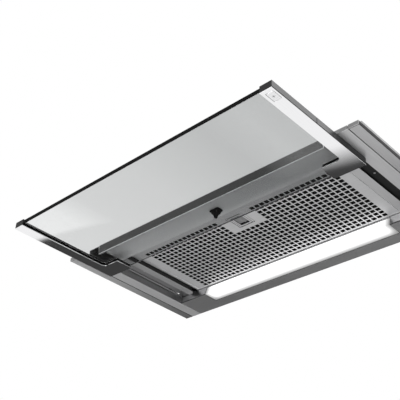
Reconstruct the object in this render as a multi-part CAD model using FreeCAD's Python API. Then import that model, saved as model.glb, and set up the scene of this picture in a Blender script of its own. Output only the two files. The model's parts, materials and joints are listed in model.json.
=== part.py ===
import FreeCAD, Part

import math
import os

# Pull-out range hood for a 600 mm wall cabinet, in millimetres.
# Origin: middle of the tray's front edge, in the plane of the cabinet's underside.
# +X to the right, +Y to the wall, +Z up. The glass drawer is drawn fully pulled out.

# ---- tray -------------------------------------------------------------------------------------
tray_width = 598.0
tray_depth = 296.0
tray_drop = 6.5             # how far the tray's flanges hang below the cabinet
sheet = 1.2                 # folded steel sheet
trim_width = 17.0           # trim strip under the cabinet's side panel, to the groove's middle
groove = 1.0                # dark groove between each trim strip and the flange
flange_width = 22.0
recess_width = 23.0         # recess that the rails' carriages run in
ledge_width = 15.0          # ledge beside the filter
recess_ceiling = 8.7        # underside of the recess above the rails
ledge_z = 4.0               # underside of the ledges and of the front panel
ledge_radius = 10.0
front_wall_y = 11.0
front_wall_top = 11.0
front_panel_depth = 53.2
filter_z = 12.0             # underside of the grease filter
rear_flange = 26.0          # width of the flange behind the light
rear_lean = 5.3             # the wall in front of the light leans back by this much
hook_shelf = 11.0           # shelf on top of the rear wall that carries the filter's hooks
side_wall_top = 24.0
side_wall_start = 30.0      # from the tray's front edge
side_wall_inset = 6.0       # from the tray's rear edge
side_hole_pitch = 180.0
side_hole_z = 13.0
side_hole_radius = 2.5
trim_wall = 1.0
trim_plug_peg = 6.0
front_lip = 3.0             # depth of the fold under the front wall
slot_margin = 1.0           # the carriage slots end this far inside the guide rails' ends
ledge_end_gap = 1.7         # between the ledges and the rear wall
upstand_drop = 1.0          # the walls beside the filter end this far below its top
seam = 0.3                  # gap between two panels, and running gap of moving pieces
bumper_y = 47.0
bumper_peg = 3.0            # radius of the peg that clips into the front panel
bumper_head = 1.2           # the peg's head is this much wider
bumper_neck = 1.5           # the peg's head ends this far above the panel
bumper_top = (19.0, 14.0)
bumper_shoulder = (16.0, 14.0)
bumper_tip = (6.0, 5.0)
bumper_step = 5.0           # height of the bumper's upper part
bumper_gap = 0.8            # between the bumper's tip and the glass
peg_clearance = 0.1

# ---- drawer -----------------------------------------------------------------------------------
drawer_closed_gap = 32.7    # closed, the drawer ends this far in front of the rear wall
drawer_overlap = 68.0       # length that stays under the tray when the drawer is out
rail_inset = 9.0            # the rails stand out from the recess's inner side by this much
rail_width = 19.6
rail_height = 12.0
rail_gap = 1.0              # between the rails and the flanges above them
rail_sheet = 1.2
foot_reach = 33.5           # how far each foot turns inwards from its rail
foot_depth = 32.0
foot_fillet = 7.0
trim_round = 2.0
side_seam_y = -46.0
side_seam = 0.6
cover_gap = 0.6             # between the side covers and the trim below them
cap_thickness = 1.5
glass_thickness = 5.0
glass_lift = 3.5            # underside of the glass above the underside of the rails
glass_bite = 2.3            # how deep the glass sits in its gasket
gasket_width = 3.0
edge_strip = 1.6
pad_inset = 0.6             # the foot pads stand in by this much from the feet's edges
clamp_thickness = 1.5
clamp_inset = (1.0, 1.0)
clamp_round = 2.0
magnet_y = 45.0
magnet_size = (8.0, 10.0, 2.0)

# ---- runners ----------------------------------------------------------------------------------
slot_place = 19.8           # slot's middle from the recess's inner side
blade = 2.6
guide_start = 20.0
guide_rear_gap = 7.7
guide_height = 7.1
guide_cavity = 10.6
guide_wall = 1.5
guide_foot = 7.6
guide_screw_inset = 12.0    # first and last guide screw from the guide's ends
stop_length = 2.7
carriage_plate = 1.2
carriage_base = 1.5
carriage_lip = 1.5          # the carriage plate ends this far inside the guide
glide_length = 10.0
glide_inset = 1.0

# ---- grease filter ----------------------------------------------------------------------------
filter_side_gap = 1.0
filter_front_gap = 0.8
filter_rear_gap = 0.6
filter_height = 9.0
filter_lip = 5.0
filter_rear_lip = 3.0
filter_sheet = 1.0
hole_pitch = 9.9
hole_size = 7.0
hole_side_margin = 20.0     # plain border beside the holes
hole_front_margin = 18.5
hole_rear_margin = 5.3
blank_columns = 7           # columns and rows of holes that the latch plate takes
blank_rows = 5
latch_x = hole_pitch / 2
latch_margin = 21.0         # from the filter's front edge to the latch plate
latch_width = 31.0
latch_length = 37.0
latch_slider = (17.0, 19.0)
latch_travel = 4.0
latch_overrun = 0.4         # room left beyond the slider's travel
latch_tongue = (10.0, 2.2)
latch_tongue_lift = 2.5     # tongue above the filter plane
latch_bite = 1.5            # how far the tongue reaches through the front panel's wall
latch_height = 7.5
cup_wall = 1.2
plate_gap = 0.2             # around the latch plate
grip_count = 4
grip_pitch = 3.0
grip_groove = (1.0, 0.8)
spring_radius = 1.5
spring_wire = 0.35
spring_turns = 8
spring_space = 0.4          # between the spring and its bore
spring_bore_wall = 7.0      # slider material in front of the spring's bore
spring_play = 0.2
filter_wall = 1.0
hook_start = 90.0
hook_width = 30.0
hook_reach = 5.0            # the hooks reach this far over the rear wall's shelf
hook_gap = 0.2
mesh_inset = 1.0
latch_pocket = 3.0          # room around the latch plate in the mesh

# ---- light ------------------------------------------------------------------------------------
light_inset = 25.0          # the light ends this far inside the ledges
light_depth = 30.3
lens_thickness = 2.0
lens_top = 9.2
lens_fold = 1.3             # thickness of the lens along its leaning part, in its own thickness
lens_slit = 0.1             # between the lens's top edge and the rear wall above it
light_box_lift = 1.4        # top of the light housing above the lens
light_box_gap = 0.8
light_board = (7.0, 12.0)   # inset from the lens's ends, and width
board_thickness = 1.6
led_count = 12
led_inset = 15.0
led_size = (5.0, 1.2)

# ---- housing above the tray ---------------------------------------------------------------------
plenum_inset = 2.0
plenum_setback = 43.0       # from the front wall to the plenum
plenum_top = 30.0
housing_rear_gap = 4.0
casing_inset = 13.0
casing_depth = 152.0
casing_top = 126.5
casing_flange = 10.0
lid_screw_inset = 42.0
lid_screw_pitch = 110.0
screw_length = 5.5
plenum_cut_margin = (17.0, 12.0)                # from the casing to the cut-out below it
collar_rear_gap = 4.0       # between the collar's tube and the housing's rear
collar_radius = 60.0
collar_wall = 2.0
collar_bite = 1.0           # the collar's bore is this much smaller than its tube's inside
collar_height = 24.8
collar_ear = 6.0
collar_foot = 3.0           # the collar's base is this much wider than its tube
flap_seat = (4.0, 1.5)      # width and thickness of the rim that the flaps close on
flap_pin_radius = 1.5
flap_pin_lift = 10.3        # flap pin above the casing lid
flap_plate = 1.0
flap_gap = 1.7              # between the flaps and the collar's tube
knuckle_radius = 3.0
knuckle_split = 20.3        # half distance between the two flaps' outer knuckles
knuckle_end = 46.0
pin_boss = 3.5              # the pin's bosses reach this far in from the tube
pin_clearance = 0.08

# ---- fan --------------------------------------------------------------------------------------
fan_setback = 23.0          # the fan's shaft lies this far in front of the collar's middle
fan_z = 76.0
scroll_half = 44.0
scroll_wall = 1.5
scroll_start_radius = 38.0
scroll_growth = 4.0         # the scroll's radius grows by this much each quarter turn
outlet_start = 5.0          # the outlet begins this far behind the shaft
outlet_lip = 3.0            # the fan's outlet plate is this much larger than the duct hole
inlet_radius = 27.0
inlet_wall = 4.0
inlet_length = 4.5
inlet_round = 3.0
wheel_radius = 34.0
wheel_inner = 26.0
wheel_rim = 2.0
wheel_blades = 28
wheel_front_gap = 4.0
wheel_rear_gap = 6.0
blade_thickness = 1.0
blade_lean = 30.0
hub_wall = 4.0
hub_length = 20.0
shaft_radius = 4.0
shaft_clearance = 0.05
shaft_end = 6.0             # the shaft stands out of the motor by this much
shaft_hole = 10.0
press_fit = 0.02
motor_radius = 33.0
motor_length = 62.0
motor_flange = 2.5
motor_flange_radius = 42.0
motor_round = 4.0
motor_bolt_radius = 37.5
motor_bolt_count = 3
bearing_wall = 3.0
bearing_length = 6.0
bearing_inset = 2.0

# ---- electrics and small parts --------------------------------------------------------------------
box_size = (55.0, 58.0, 50.0)
box_place = (25.0, 20.0)    # behind the casing's front and above the plenum
box_wall = 2.0
control_board_gap = 8.0     # between the control board and the box's wall
control_board_edge = 3.0
relay = (10.0, 10.0, 16.0, 15.0, 20.0)          # place in y, z and size in x, y, z
transformer = (30.0, 12.0, 21.0, 20.0, 28.0)
capacitor_radius = 14.0
capacitor_length = 46.8
capacitor_gap = 15.0        # behind the control box
gland_inset = (47.0, 60.0)  # from the casing's side and front
gland_bore = 3.5
gland_thread = (6.0, 7.0)   # radius, and depth below the lid's sheet
gland_flange = (10.0, 3.0)
gland_dome = (8.0, 6.0, 8.0)
gland_nut = (10.0, 4.0)
nut_clearance = 0.1
sensor_size = (8.5, 16.0, 3.2)
sensor_gap = 1.8
sensor_lead = 3.0           # the magnet stops this far behind the sensor's front
screw_radius = 1.6
screw_clearance = 0.2
screw_head = (3.2, 2.0)
screw_round = 0.9
screw_slot = (0.7, 0.9)     # width and depth
button_size = (12.0, 17.9)
button_front = 6.3          # button's front edge behind the drawer's front
button_travel = 0.6
button_gap = 0.2
button_collar = (1.8, 1.0)  # the flange that traps the key: width and thickness
button_stem = 4.0
switch_size = (6.0, 1.5)
button_board = (3.5, 1.5, 2.5, 6.0)             # drop, thickness, front and rear margin
board_post = (1.0, 3.0)

# ---- worked out from the sizes above ----------------------------------------------------------------
tray_half = tray_width / 2
groove_x = tray_half - trim_width
trim_inner = groove_x + groove / 2
flange_outer = groove_x - groove / 2
flange_inner = groove_x - flange_width
recess_inner = flange_inner - recess_width
ledge_inner = recess_inner - ledge_width
light_half = ledge_inner - light_inset
filter_half = ledge_inner - filter_side_gap
plenum_half = recess_inner - plenum_inset
casing_half = plenum_half - casing_inset
rail_inner = recess_inner + rail_inset
slot_middle = recess_inner + slot_place
light_rear = tray_depth - rear_flange
rear_lip_y = light_rear - light_depth
rear_wall_y = rear_lip_y + rear_lean    # the leaning wall reaches the filter plane here
housing_rear = tray_depth - housing_rear_gap
casing_front = housing_rear - casing_depth
plenum_front = front_wall_y + plenum_setback
front_panel_end = front_wall_y + front_panel_depth
filter_front = front_panel_end + filter_front_gap
filter_rear = rear_wall_y - filter_rear_gap
latch_front = filter_front + latch_margin
side_wall_end = tray_depth - side_wall_inset
side_hole_middle = (side_wall_start + side_wall_end) / 2
guide_end = rear_lip_y - guide_rear_gap
drawer_length = rear_lip_y - drawer_closed_gap
drawer_out = drawer_length - drawer_overlap     # how far the drawer stands out, and its travel
collar_y = housing_rear - collar_rear_gap - collar_radius
duct_hole = collar_radius - collar_wall - collar_bite
flap_radius = collar_radius - collar_wall - flap_gap
fan_y = collar_y - fan_setback
outlet_front = fan_y + outlet_start
gland_place = (casing_half - gland_inset[0], casing_front + gland_inset[1])
box_corner = (casing_front + box_place[0], plenum_top + box_place[1])
capacitor_y = box_corner[0] + box_size[1] + capacitor_gap + capacitor_radius
tray_z = -tray_drop
flange_top = tray_z + sheet
ceiling_top = recess_ceiling + sheet
ledge_top = ledge_z + sheet
rail_outer = rail_inner + rail_width
rail_top = tray_z - rail_gap
rail_bottom = rail_top - rail_height
trim_top = rail_bottom + rail_sheet
drawer_front = -drawer_out
drawer_rear = drawer_length - drawer_out
glass_bottom = rail_bottom + glass_lift
glass_top = glass_bottom + glass_thickness
core_outer = rail_outer - rail_sheet
core_inner = rail_inner + gasket_width
wall_lean = rear_lean / (filter_z - tray_z)
guide_screw_x = slot_middle - guide_cavity / 2 - guide_foot
guide_screw_ys = (guide_start + guide_screw_inset, (guide_start + guide_end) / 2,
                  guide_end - guide_screw_inset)
screw_hole = screw_radius + screw_clearance
upstand_top = filter_z + filter_height - upstand_drop
tongue_z = filter_z + latch_tongue_lift
latch_opening = (latch_slider[0] + 2 * seam, latch_slider[1] + 2 * (latch_travel + latch_overrun))
latch_middle = latch_front + latch_length / 2
latch_slider_front = latch_middle - latch_slider[1] / 2
cup_half = latch_opening[0] / 2 + cup_wall
cup_front = latch_middle - latch_opening[1] / 2 - cup_wall
cup_rear = latch_middle + latch_opening[1] / 2 + cup_wall
lid_top = casing_top + sheet
collar_top = lid_top + collar_height
pin_z = lid_top + flap_pin_lift
V = FreeCAD.Vector


# ---- helpers ----------------------------------------------------------------------------------
def box(x0, x1, y0, y1, z0, z1):
    return Part.makeBox(x1 - x0, y1 - y0, z1 - z0, V(x0, y0, z0))


def cylinder_x(radius, x0, x1, y, z):
    return Part.makeCylinder(radius, x1 - x0, V(x0, y, z), V(1, 0, 0))


def cylinder_z(radius, x, y, z0, z1):
    return Part.makeCylinder(radius, z1 - z0, V(x, y, z0), V(0, 0, 1))


def join(shapes):
    whole = shapes[0]
    if len(shapes) > 1:
        whole = whole.multiFuse(shapes[1:])
    return whole.removeSplitter()


def cut(shape, tools):
    return shape.cut(tools)


def group(shapes):
    return Part.makeCompound(shapes)


def outline_wire(points):
    return Part.makePolygon(points + [points[0]])


def rectangle_wire(x, y, half_x, half_y, z):
    return outline_wire([V(x - half_x, y - half_y, z), V(x + half_x, y - half_y, z),
                         V(x + half_x, y + half_y, z), V(x - half_x, y + half_y, z)])


def face_of(points):
    return Part.Face(outline_wire(points))


def slab(points, z0, z1):
    """Plate with an outline in plan."""
    return face_of([V(x, y, z0) for x, y in points]).extrude(V(0, 0, z1 - z0))


def bar(points, x0, x1):
    """Bar along X with a section given as y, z."""
    return face_of([V(x0, y, z) for y, z in points]).extrude(V(x1 - x0, 0, 0))


def mirrored(shape):
    return shape.mirror(V(0, 0, 0), V(1, 0, 0))


def both(shape):
    return [shape, mirrored(shape)]


def save(name, shape):
    shape.exportStep("parts/" + name + ".step")


def save_pair(name, shape):
    save(name + "_right", shape)
    save(name + "_left", mirrored(shape))


def wall_y(z):
    """Front face of the leaning rear wall at a height."""
    return rear_lip_y + (z - tray_z) * wall_lean


# ---- tray -------------------------------------------------------------------------------------
def make_trim():
    tube = cut(box(trim_inner, tray_half, sheet, tray_depth - sheet, tray_z, 0),
               [box(trim_inner + trim_wall, tray_half - trim_wall, 0, tray_depth,
                    tray_z + trim_wall, -trim_wall)])
    tongue = box(flange_outer, trim_inner, sheet, tray_depth - sheet, tray_z / 2, -trim_wall)
    save_pair("trim", join([tube, tongue]))
    peg_gap = seam / 2
    plugs = []
    for y0, y1, peg0, peg1 in ((0, sheet, sheet, sheet + trim_plug_peg),
                               (tray_depth - sheet, tray_depth,
                                tray_depth - sheet - trim_plug_peg, tray_depth - sheet)):
        cap = box(trim_inner, tray_half, y0, y1, tray_z, 0)
        stem = box(trim_inner + trim_wall + peg_gap, tray_half - trim_wall - peg_gap, peg0, peg1,
                   tray_z + trim_wall + peg_gap, -trim_wall - peg_gap)
        plugs += both(join([cap, stem]))
    save("trim_plugs", group(plugs))


def make_side_channel():
    ceiling_inner = recess_inner - sheet
    wall_inner = flange_inner + sheet
    ledge_end = rear_lip_y - ledge_end_gap
    pieces = [
        box(flange_inner, flange_outer, 0, tray_depth, tray_z, flange_top),
        box(flange_inner, flange_outer, 0, sheet, tray_z, 0),
        box(flange_inner, flange_outer, tray_depth - sheet, tray_depth, tray_z, 0),
        box(flange_outer - sheet, flange_outer, 0, tray_depth, tray_z, 0),
        box(flange_outer - sheet, flange_outer, side_wall_start, side_wall_end, 0, side_wall_top),
        box(flange_inner, wall_inner, 0, tray_depth - sheet, tray_z, 0),
        box(flange_inner, wall_inner, front_wall_y, housing_rear, 0, ceiling_top),
        box(ceiling_inner, wall_inner, front_wall_y, housing_rear, recess_ceiling, ceiling_top),
        box(ceiling_inner, recess_inner, front_wall_y, wall_y(ledge_z) - seam,
            ledge_z, ceiling_top),
        box(ledge_inner, recess_inner, front_panel_end + seam, ledge_end, ledge_z, ledge_top),
        box(ledge_inner, ledge_inner + sheet, front_panel_end + seam, ledge_end - ledge_radius,
            ledge_z, upstand_top),
    ]
    whole = join(pieces)
    corner = [edge for edge in whole.Edges
              if abs(edge.BoundBox.XMin - ledge_inner) < 0.01 and edge.BoundBox.XLength < 0.01
              and edge.BoundBox.YLength < 0.01 and abs(edge.BoundBox.YMin - ledge_end) < 0.01]
    whole = whole.makeFillet(ledge_radius, corner)
    slot = box(slot_middle - blade / 2 - seam, slot_middle + blade / 2 + seam,
               guide_start + slot_margin, guide_end - slot_margin, recess_ceiling - 1,
               ceiling_top + 1)
    holes = [cylinder_x(side_hole_radius, flange_outer - sheet - 1, flange_outer + 1,
                        side_hole_middle + side * side_hole_pitch / 2, side_hole_z)
             for side in (-1, 1)]
    screws = [cylinder_z(screw_hole, guide_screw_x, y, recess_ceiling - 1, ceiling_top + 1)
              for y in guide_screw_ys]
    save_pair("side_channel", cut(whole, [slot] + holes + screws))


def tongue_slot(y0, y1):
    """Opening that the latch's tongue passes through with room to spare."""
    half = latch_tongue[0] / 2 + seam
    return box(latch_x - half, latch_x + half, y0, y1, tongue_z - seam,
               tongue_z + latch_tongue[1] + seam)


def make_front_panel():
    half = recess_inner - sheet - seam
    upstand_half = ledge_inner - seam
    upstand_y = front_panel_end - sheet
    whole = join([
        box(-half, half, front_wall_y, front_wall_y + sheet, tray_z, front_wall_top),
        box(-half, half, front_wall_y, front_wall_y + front_lip, tray_z, flange_top),
        box(-half, half, front_wall_y, front_panel_end, ledge_z, ledge_top),
        box(-upstand_half, upstand_half, upstand_y, front_panel_end, ledge_z, upstand_top),
    ])
    hole = cylinder_z(bumper_peg + peg_clearance, latch_x, bumper_y, ledge_z - 1, ledge_top + 1)
    save("front_panel", cut(whole, [tongue_slot(upstand_y - 1, front_panel_end + 1), hole]))


def make_rear_panel():
    half = flange_inner - seam
    wing = light_half + seam
    wall_half = plenum_half - sheet - seam
    opening_rear = light_rear + seam
    wall_top = recess_ceiling - seam

    def leaning(z0, z1, x0, x1):
        return bar([(wall_y(z0), z0), (wall_y(z0) + sheet, z0), (wall_y(z1) + sheet, z1),
                    (wall_y(z1), z1)], x0, x1)

    pieces = [
        box(-half, half, opening_rear, tray_depth, tray_z, flange_top),
        box(-half, half, tray_depth - sheet, tray_depth, tray_z, 0),
        leaning(lens_top + lens_slit, filter_z, -wall_half, wall_half),
        box(-wall_half, wall_half, rear_wall_y, rear_wall_y + hook_shelf, filter_z,
            filter_z + sheet),
    ]
    for side in (box(wing, half, rear_lip_y, opening_rear, tray_z, flange_top),
                 leaning(tray_z, wall_top, wing, half),
                 leaning(wall_top, filter_z, wing, wall_half)):
        pieces += both(side)
    save("rear_panel", join(pieces))


# ---- light ------------------------------------------------------------------------------------
def make_light():
    t = lens_thickness
    lens = bar([(light_rear, tray_z), (rear_lip_y, tray_z), (wall_y(lens_top), lens_top),
                (wall_y(lens_top) + t, lens_top), (wall_y(tray_z) + lens_fold * t, tray_z + t),
                (light_rear, tray_z + t)], -light_half, light_half)
    save("light_lens", lens)
    end = light_half + 2 * seam
    top = lens_top + light_box_lift
    front = wall_y(lens_top) + t + light_box_gap
    back = light_rear + 2 * seam
    housing = join([
        box(-end, end, back, back + sheet, flange_top, top),
        box(-end, end, front, back, top - sheet, top),
        box(end, end + sheet, front, back + sheet, flange_top, top),
        box(-end - sheet, -end, front, back + sheet, flange_top, top),
    ])
    save("light_housing", housing)
    board_y = (front + back) / 2
    inset, width = light_board
    under = top - sheet - board_thickness
    board = box(-light_half + inset, light_half - inset, board_y - width / 2, board_y + width / 2,
                under, top - sheet)
    pitch = 2 * (light_half - led_inset) / (led_count - 1)
    side, height = led_size
    chips = [box(x - side / 2, x + side / 2, board_y - side / 2, board_y + side / 2,
                 under - height, under)
             for x in (-light_half + led_inset + i * pitch for i in range(led_count))]
    save("light_board", join([board] + chips))


# ---- grease filter ----------------------------------------------------------------------------
def make_filter():
    top = filter_z + filter_height
    wall = filter_wall
    lip = filter_lip
    rear_lip = filter_rear_lip
    outer = box(-filter_half, filter_half, filter_front, filter_rear, filter_z, top)
    inside = box(-filter_half + wall, filter_half - wall, filter_front + wall, filter_rear - wall,
                 filter_z + filter_sheet, top - filter_sheet)
    window = box(-filter_half + lip, filter_half - lip, filter_front + lip,
                 filter_rear - rear_lip, filter_z - 1, top + 1)
    hook_z = filter_z + sheet + hook_gap
    hooks = both(box(hook_start, hook_start + hook_width, filter_rear - wall,
                     rear_wall_y + hook_reach, hook_z, hook_z + sheet))
    frame = cut(join([cut(outer, [inside, window])] + hooks),
                [tongue_slot(filter_front - 1, filter_front + wall + 1)])
    save("filter_frame", frame)

    half = filter_half - lip - seam
    y0 = filter_front + lip + seam
    y1 = filter_rear - rear_lip - seam
    hole_columns = 2 * int((filter_half - hole_side_margin) / hole_pitch)
    first_column = -hole_pitch * (hole_columns - 1) / 2
    first_row_y = filter_front + hole_front_margin + hole_size / 2
    hole_span = filter_rear - hole_rear_margin - filter_front - hole_front_margin - hole_size
    hole_rows = int(hole_span / hole_pitch) + 1
    last_blank = blank_columns // 2
    outline = [V(-half, y0, filter_z), V(half, y0, filter_z), V(half, y1, filter_z),
               V(-half, y1, filter_z)]
    windows = []
    for column in range(hole_columns):
        x = first_column + column * hole_pitch
        for row in range(hole_rows):
            near_latch = abs(x - latch_x) < (last_blank + 0.5) * hole_pitch
            if near_latch and row < blank_rows:
                continue
            y = first_row_y + row * hole_pitch
            windows.append(rectangle_wire(x, y, hole_size / 2, hole_size / 2, filter_z))
    windows.append(rectangle_wire(latch_x, latch_middle, latch_width / 2 + plate_gap,
                                  latch_length / 2 + plate_gap, filter_z))
    plate = Part.Face([outline_wire(outline)] + windows).extrude(V(0, 0, filter_sheet))
    save("filter_sheet", plate)

    mesh = box(-half + mesh_inset, half - mesh_inset, y0 + mesh_inset, y1 - mesh_inset,
               filter_z + filter_sheet + seam, top - filter_sheet - seam)
    pocket_half = latch_width / 2 + latch_pocket
    pocket = box(latch_x - pocket_half, latch_x + pocket_half, y0 - 1,
                 latch_front + latch_length + latch_pocket, filter_z, top)
    save("filter_mesh", cut(mesh, [pocket]))


def make_latch():
    width, length = latch_opening
    plate = box(latch_x - latch_width / 2, latch_x + latch_width / 2, latch_front,
                latch_front + latch_length, filter_z, filter_z + sheet)
    body = box(latch_x - cup_half, latch_x + cup_half, cup_front, cup_rear, filter_z,
               filter_z + latch_height)
    cavity = box(latch_x - width / 2, latch_x + width / 2, latch_middle - length / 2,
                 latch_middle + length / 2, filter_z - 1, filter_z + latch_height - sheet)
    slot = tongue_slot(cup_front - 1, cup_front + cup_wall + 1)
    save("latch_cup", cut(join([plate, body]), [cavity, slot]))

    half = latch_slider[0] / 2
    y0 = latch_slider_front
    y1 = y0 + latch_slider[1]
    bore_radius = spring_radius + spring_space
    spring_z = filter_z + latch_height - sheet - 2 * seam - bore_radius
    slider = box(latch_x - half, latch_x + half, y0, y1, filter_z + seam,
                 filter_z + latch_height - sheet - seam)
    tongue = box(latch_x - latch_tongue[0] / 2, latch_x + latch_tongue[0] / 2,
                 front_panel_end - sheet - latch_bite, y0 + 1, tongue_z,
                 tongue_z + latch_tongue[1])
    groove_wide, groove_deep = grip_groove
    grip_y = (y0 + y1 - (grip_count - 1) * grip_pitch) / 2
    grip = [box(latch_x - half - 1, latch_x + half + 1, grip_y + grip_pitch * i,
                grip_y + grip_pitch * i + groove_wide, filter_z, filter_z + groove_deep)
            for i in range(grip_count)]
    pocket_y = y0 + spring_bore_wall
    pocket = Part.makeCylinder(bore_radius, y1 - pocket_y + 1, V(latch_x, pocket_y, spring_z),
                               V(0, 1, 0))
    save("filter_latch", cut(join([slider, tongue]), grip + [pocket]))

    room = latch_middle + latch_opening[1] / 2 - pocket_y
    length = room - 2 * spring_wire - spring_play
    helix = Part.makeHelix(length / spring_turns, length, spring_radius - spring_wire)
    section = Part.Wire([Part.Circle(V(spring_radius - spring_wire, 0, 0), V(0, 1, 0),
                                     spring_wire).toShape()])
    coil = Part.Wire(helix).makePipeShell([section], True, False)
    coil.rotate(V(0, 0, 0), V(1, 0, 0), -90)
    coil.translate(V(latch_x, pocket_y + spring_wire + spring_play / 2, spring_z))
    save("latch_spring", coil)


# ---- housing above the tray ---------------------------------------------------------------------
def shell_walls(half, y0, y1, z0, z1):
    """Four upright sheet walls around a rectangle."""
    return cut(box(-half, half, y0, y1, z0, z1),
               [box(-half + sheet, half - sheet, y0 + sheet, y1 - sheet, z0 - 1, z1 + 1)])


def lid_screw_places():
    inset = casing_flange / 2
    outer = casing_half - lid_screw_inset
    return [(side * x, y) for side in (-1, 1) for x in (outer, outer - lid_screw_pitch)
            for y in (casing_front + inset, housing_rear - inset)]


def ear_places():
    reach = collar_radius + collar_ear
    return [(reach * math.cos(angle), collar_y + reach * math.sin(angle))
            for angle in (math.radians(45 + 90 * i) for i in range(4))]


def make_housing():
    margin_x, margin_y = plenum_cut_margin
    cover = join([
        shell_walls(plenum_half, plenum_front, housing_rear, ledge_top, plenum_top),
        box(-plenum_half, plenum_half, housing_rear - sheet, housing_rear, flange_top, ledge_top),
        box(-plenum_half, plenum_half, plenum_front, housing_rear, plenum_top - sheet, plenum_top),
    ])
    window = box(-casing_half + margin_x, casing_half - margin_x, casing_front + margin_y,
                 housing_rear - margin_y, plenum_top - 2 * sheet, plenum_top + 1)
    notch = box(-plenum_half - 1, plenum_half + 1, wall_y(ledge_top) - seam,
                wall_y(recess_ceiling) + sheet + seam, ledge_top - 1, recess_ceiling)
    save("plenum_cover", cut(cover, [window, notch]))

    frame = box(-casing_half, casing_half, casing_front, housing_rear, 0, sheet)
    frame = cut(frame, [box(-casing_half + casing_flange, casing_half - casing_flange,
                            casing_front + casing_flange, housing_rear - casing_flange, -1, sheet + 1)])
    low = frame.translated(V(0, 0, plenum_top))
    high = frame.translated(V(0, 0, casing_top - sheet))
    wrap = join([shell_walls(casing_half, casing_front, housing_rear, plenum_top, casing_top),
                 low, high])
    holes = [cylinder_z(screw_hole, x, y, casing_top - 2 * sheet, lid_top + 1)
             for x, y in lid_screw_places()]
    save("casing_wrap", cut(wrap, holes))

    lid = box(-casing_half, casing_half, casing_front, housing_rear, casing_top, lid_top)
    duct = cylinder_z(duct_hole, 0, collar_y, casing_top - 1, lid_top + 1)
    ear_holes = [cylinder_z(screw_hole, x, y, casing_top - 1, lid_top + 1)
                 for x, y in ear_places()]
    gland_hole = cylinder_z(gland_thread[0] + seam, gland_place[0], gland_place[1],
                            casing_top - 1, lid_top + 1)
    save("casing_lid", cut(lid, holes + ear_holes + [duct, gland_hole]))

    shanks = [(x, y, lid_top) for x, y in lid_screw_places()]
    shanks += [(x, y, lid_top + sheet) for x, y in ear_places()]
    save("housing_screws", group([screw(x, y, z, z - screw_length) for x, y, z in shanks]))


def screw(x, y, head_z, tip_z):
    """Pan head screw, head up."""
    radius, height = screw_head
    head = cylinder_z(radius, x, y, head_z, head_z + height)
    rim = [edge for edge in head.Edges if abs(edge.BoundBox.ZMin - head_z - height) < 0.01
           and edge.BoundBox.ZLength < 0.01]
    head = head.makeFillet(screw_round, rim)
    wide, deep = screw_slot
    recess = box(x - radius + screw_round, x + radius - screw_round, y - wide / 2, y + wide / 2,
                 head_z + height - deep, head_z + height + 1)
    return cut(join([head, cylinder_z(screw_radius, x, y, tip_z, head_z)]), [recess])


def make_collar():
    inner = collar_radius - collar_wall
    base = join([cylinder_z(collar_radius + collar_foot, 0, collar_y, lid_top, lid_top + sheet)]
                + [cylinder_z(collar_ear, x, y, lid_top, lid_top + sheet) for x, y in ear_places()])
    tube = cylinder_z(collar_radius, 0, collar_y, lid_top, collar_top)
    rim_top = pin_z - flap_pin_radius - flap_plate - seam
    rim_width, rim_height = flap_seat
    bore_low = cylinder_z(inner - rim_width, 0, collar_y, lid_top - 1, collar_top)
    bore_high = cylinder_z(inner, 0, collar_y, rim_top, collar_top + 1)
    bore_base = cylinder_z(inner, 0, collar_y, lid_top - 1, rim_top - rim_height)
    body = cut(join([base, tube]), [bore_low, bore_high, bore_base])
    bosses = []
    for side in (-1, 1):
        x0, x1 = sorted((side * (inner - pin_boss), side * (inner + collar_wall / 2)))
        bosses.append(cylinder_x(knuckle_radius, x0, x1, collar_y, pin_z))
    pin_hole = cylinder_x(flap_pin_radius + press_fit, -inner, inner, collar_y, pin_z)
    ear_holes = [cylinder_z(screw_hole, x, y, lid_top - 1, lid_top + sheet + 1)
                 for x, y in ear_places()]
    save("outlet_collar", cut(join([body] + bosses), [pin_hole] + ear_holes))
    save("flap_pin", cylinder_x(flap_pin_radius, -inner + peg_clearance, inner - peg_clearance,
                                collar_y, pin_z))

    gap = knuckle_radius + seam
    plate_top = pin_z - flap_pin_radius + seam
    plate_bottom = plate_top - flap_plate
    disc = cylinder_z(flap_radius, 0, collar_y, plate_bottom, plate_top)
    reach = flap_radius + 1
    bore = cylinder_x(flap_pin_radius + pin_clearance, -reach, reach, collar_y, pin_z)
    outer = knuckle_split + seam
    inner = knuckle_split - seam
    outer_knuckles = ((-knuckle_end, -outer), (outer, knuckle_end))
    for name, side, knuckles in (("flap_front", -1, outer_knuckles),
                                 ("flap_rear", 1, ((-inner, inner),))):
        y0, y1 = sorted((collar_y + side * gap, collar_y + side * reach))
        pieces = [disc.common(box(-reach, reach, y0, y1, plate_bottom - 1, plate_top + 1))]
        for x0, x1 in knuckles:
            y0, y1 = sorted((collar_y, collar_y + side * (gap + 1)))
            pieces.append(cylinder_x(knuckle_radius, x0, x1, collar_y, pin_z))
            pieces.append(box(x0, x1, y0, y1, plate_bottom, plate_top))
        save(name, cut(join(pieces), [bore]))


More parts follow.
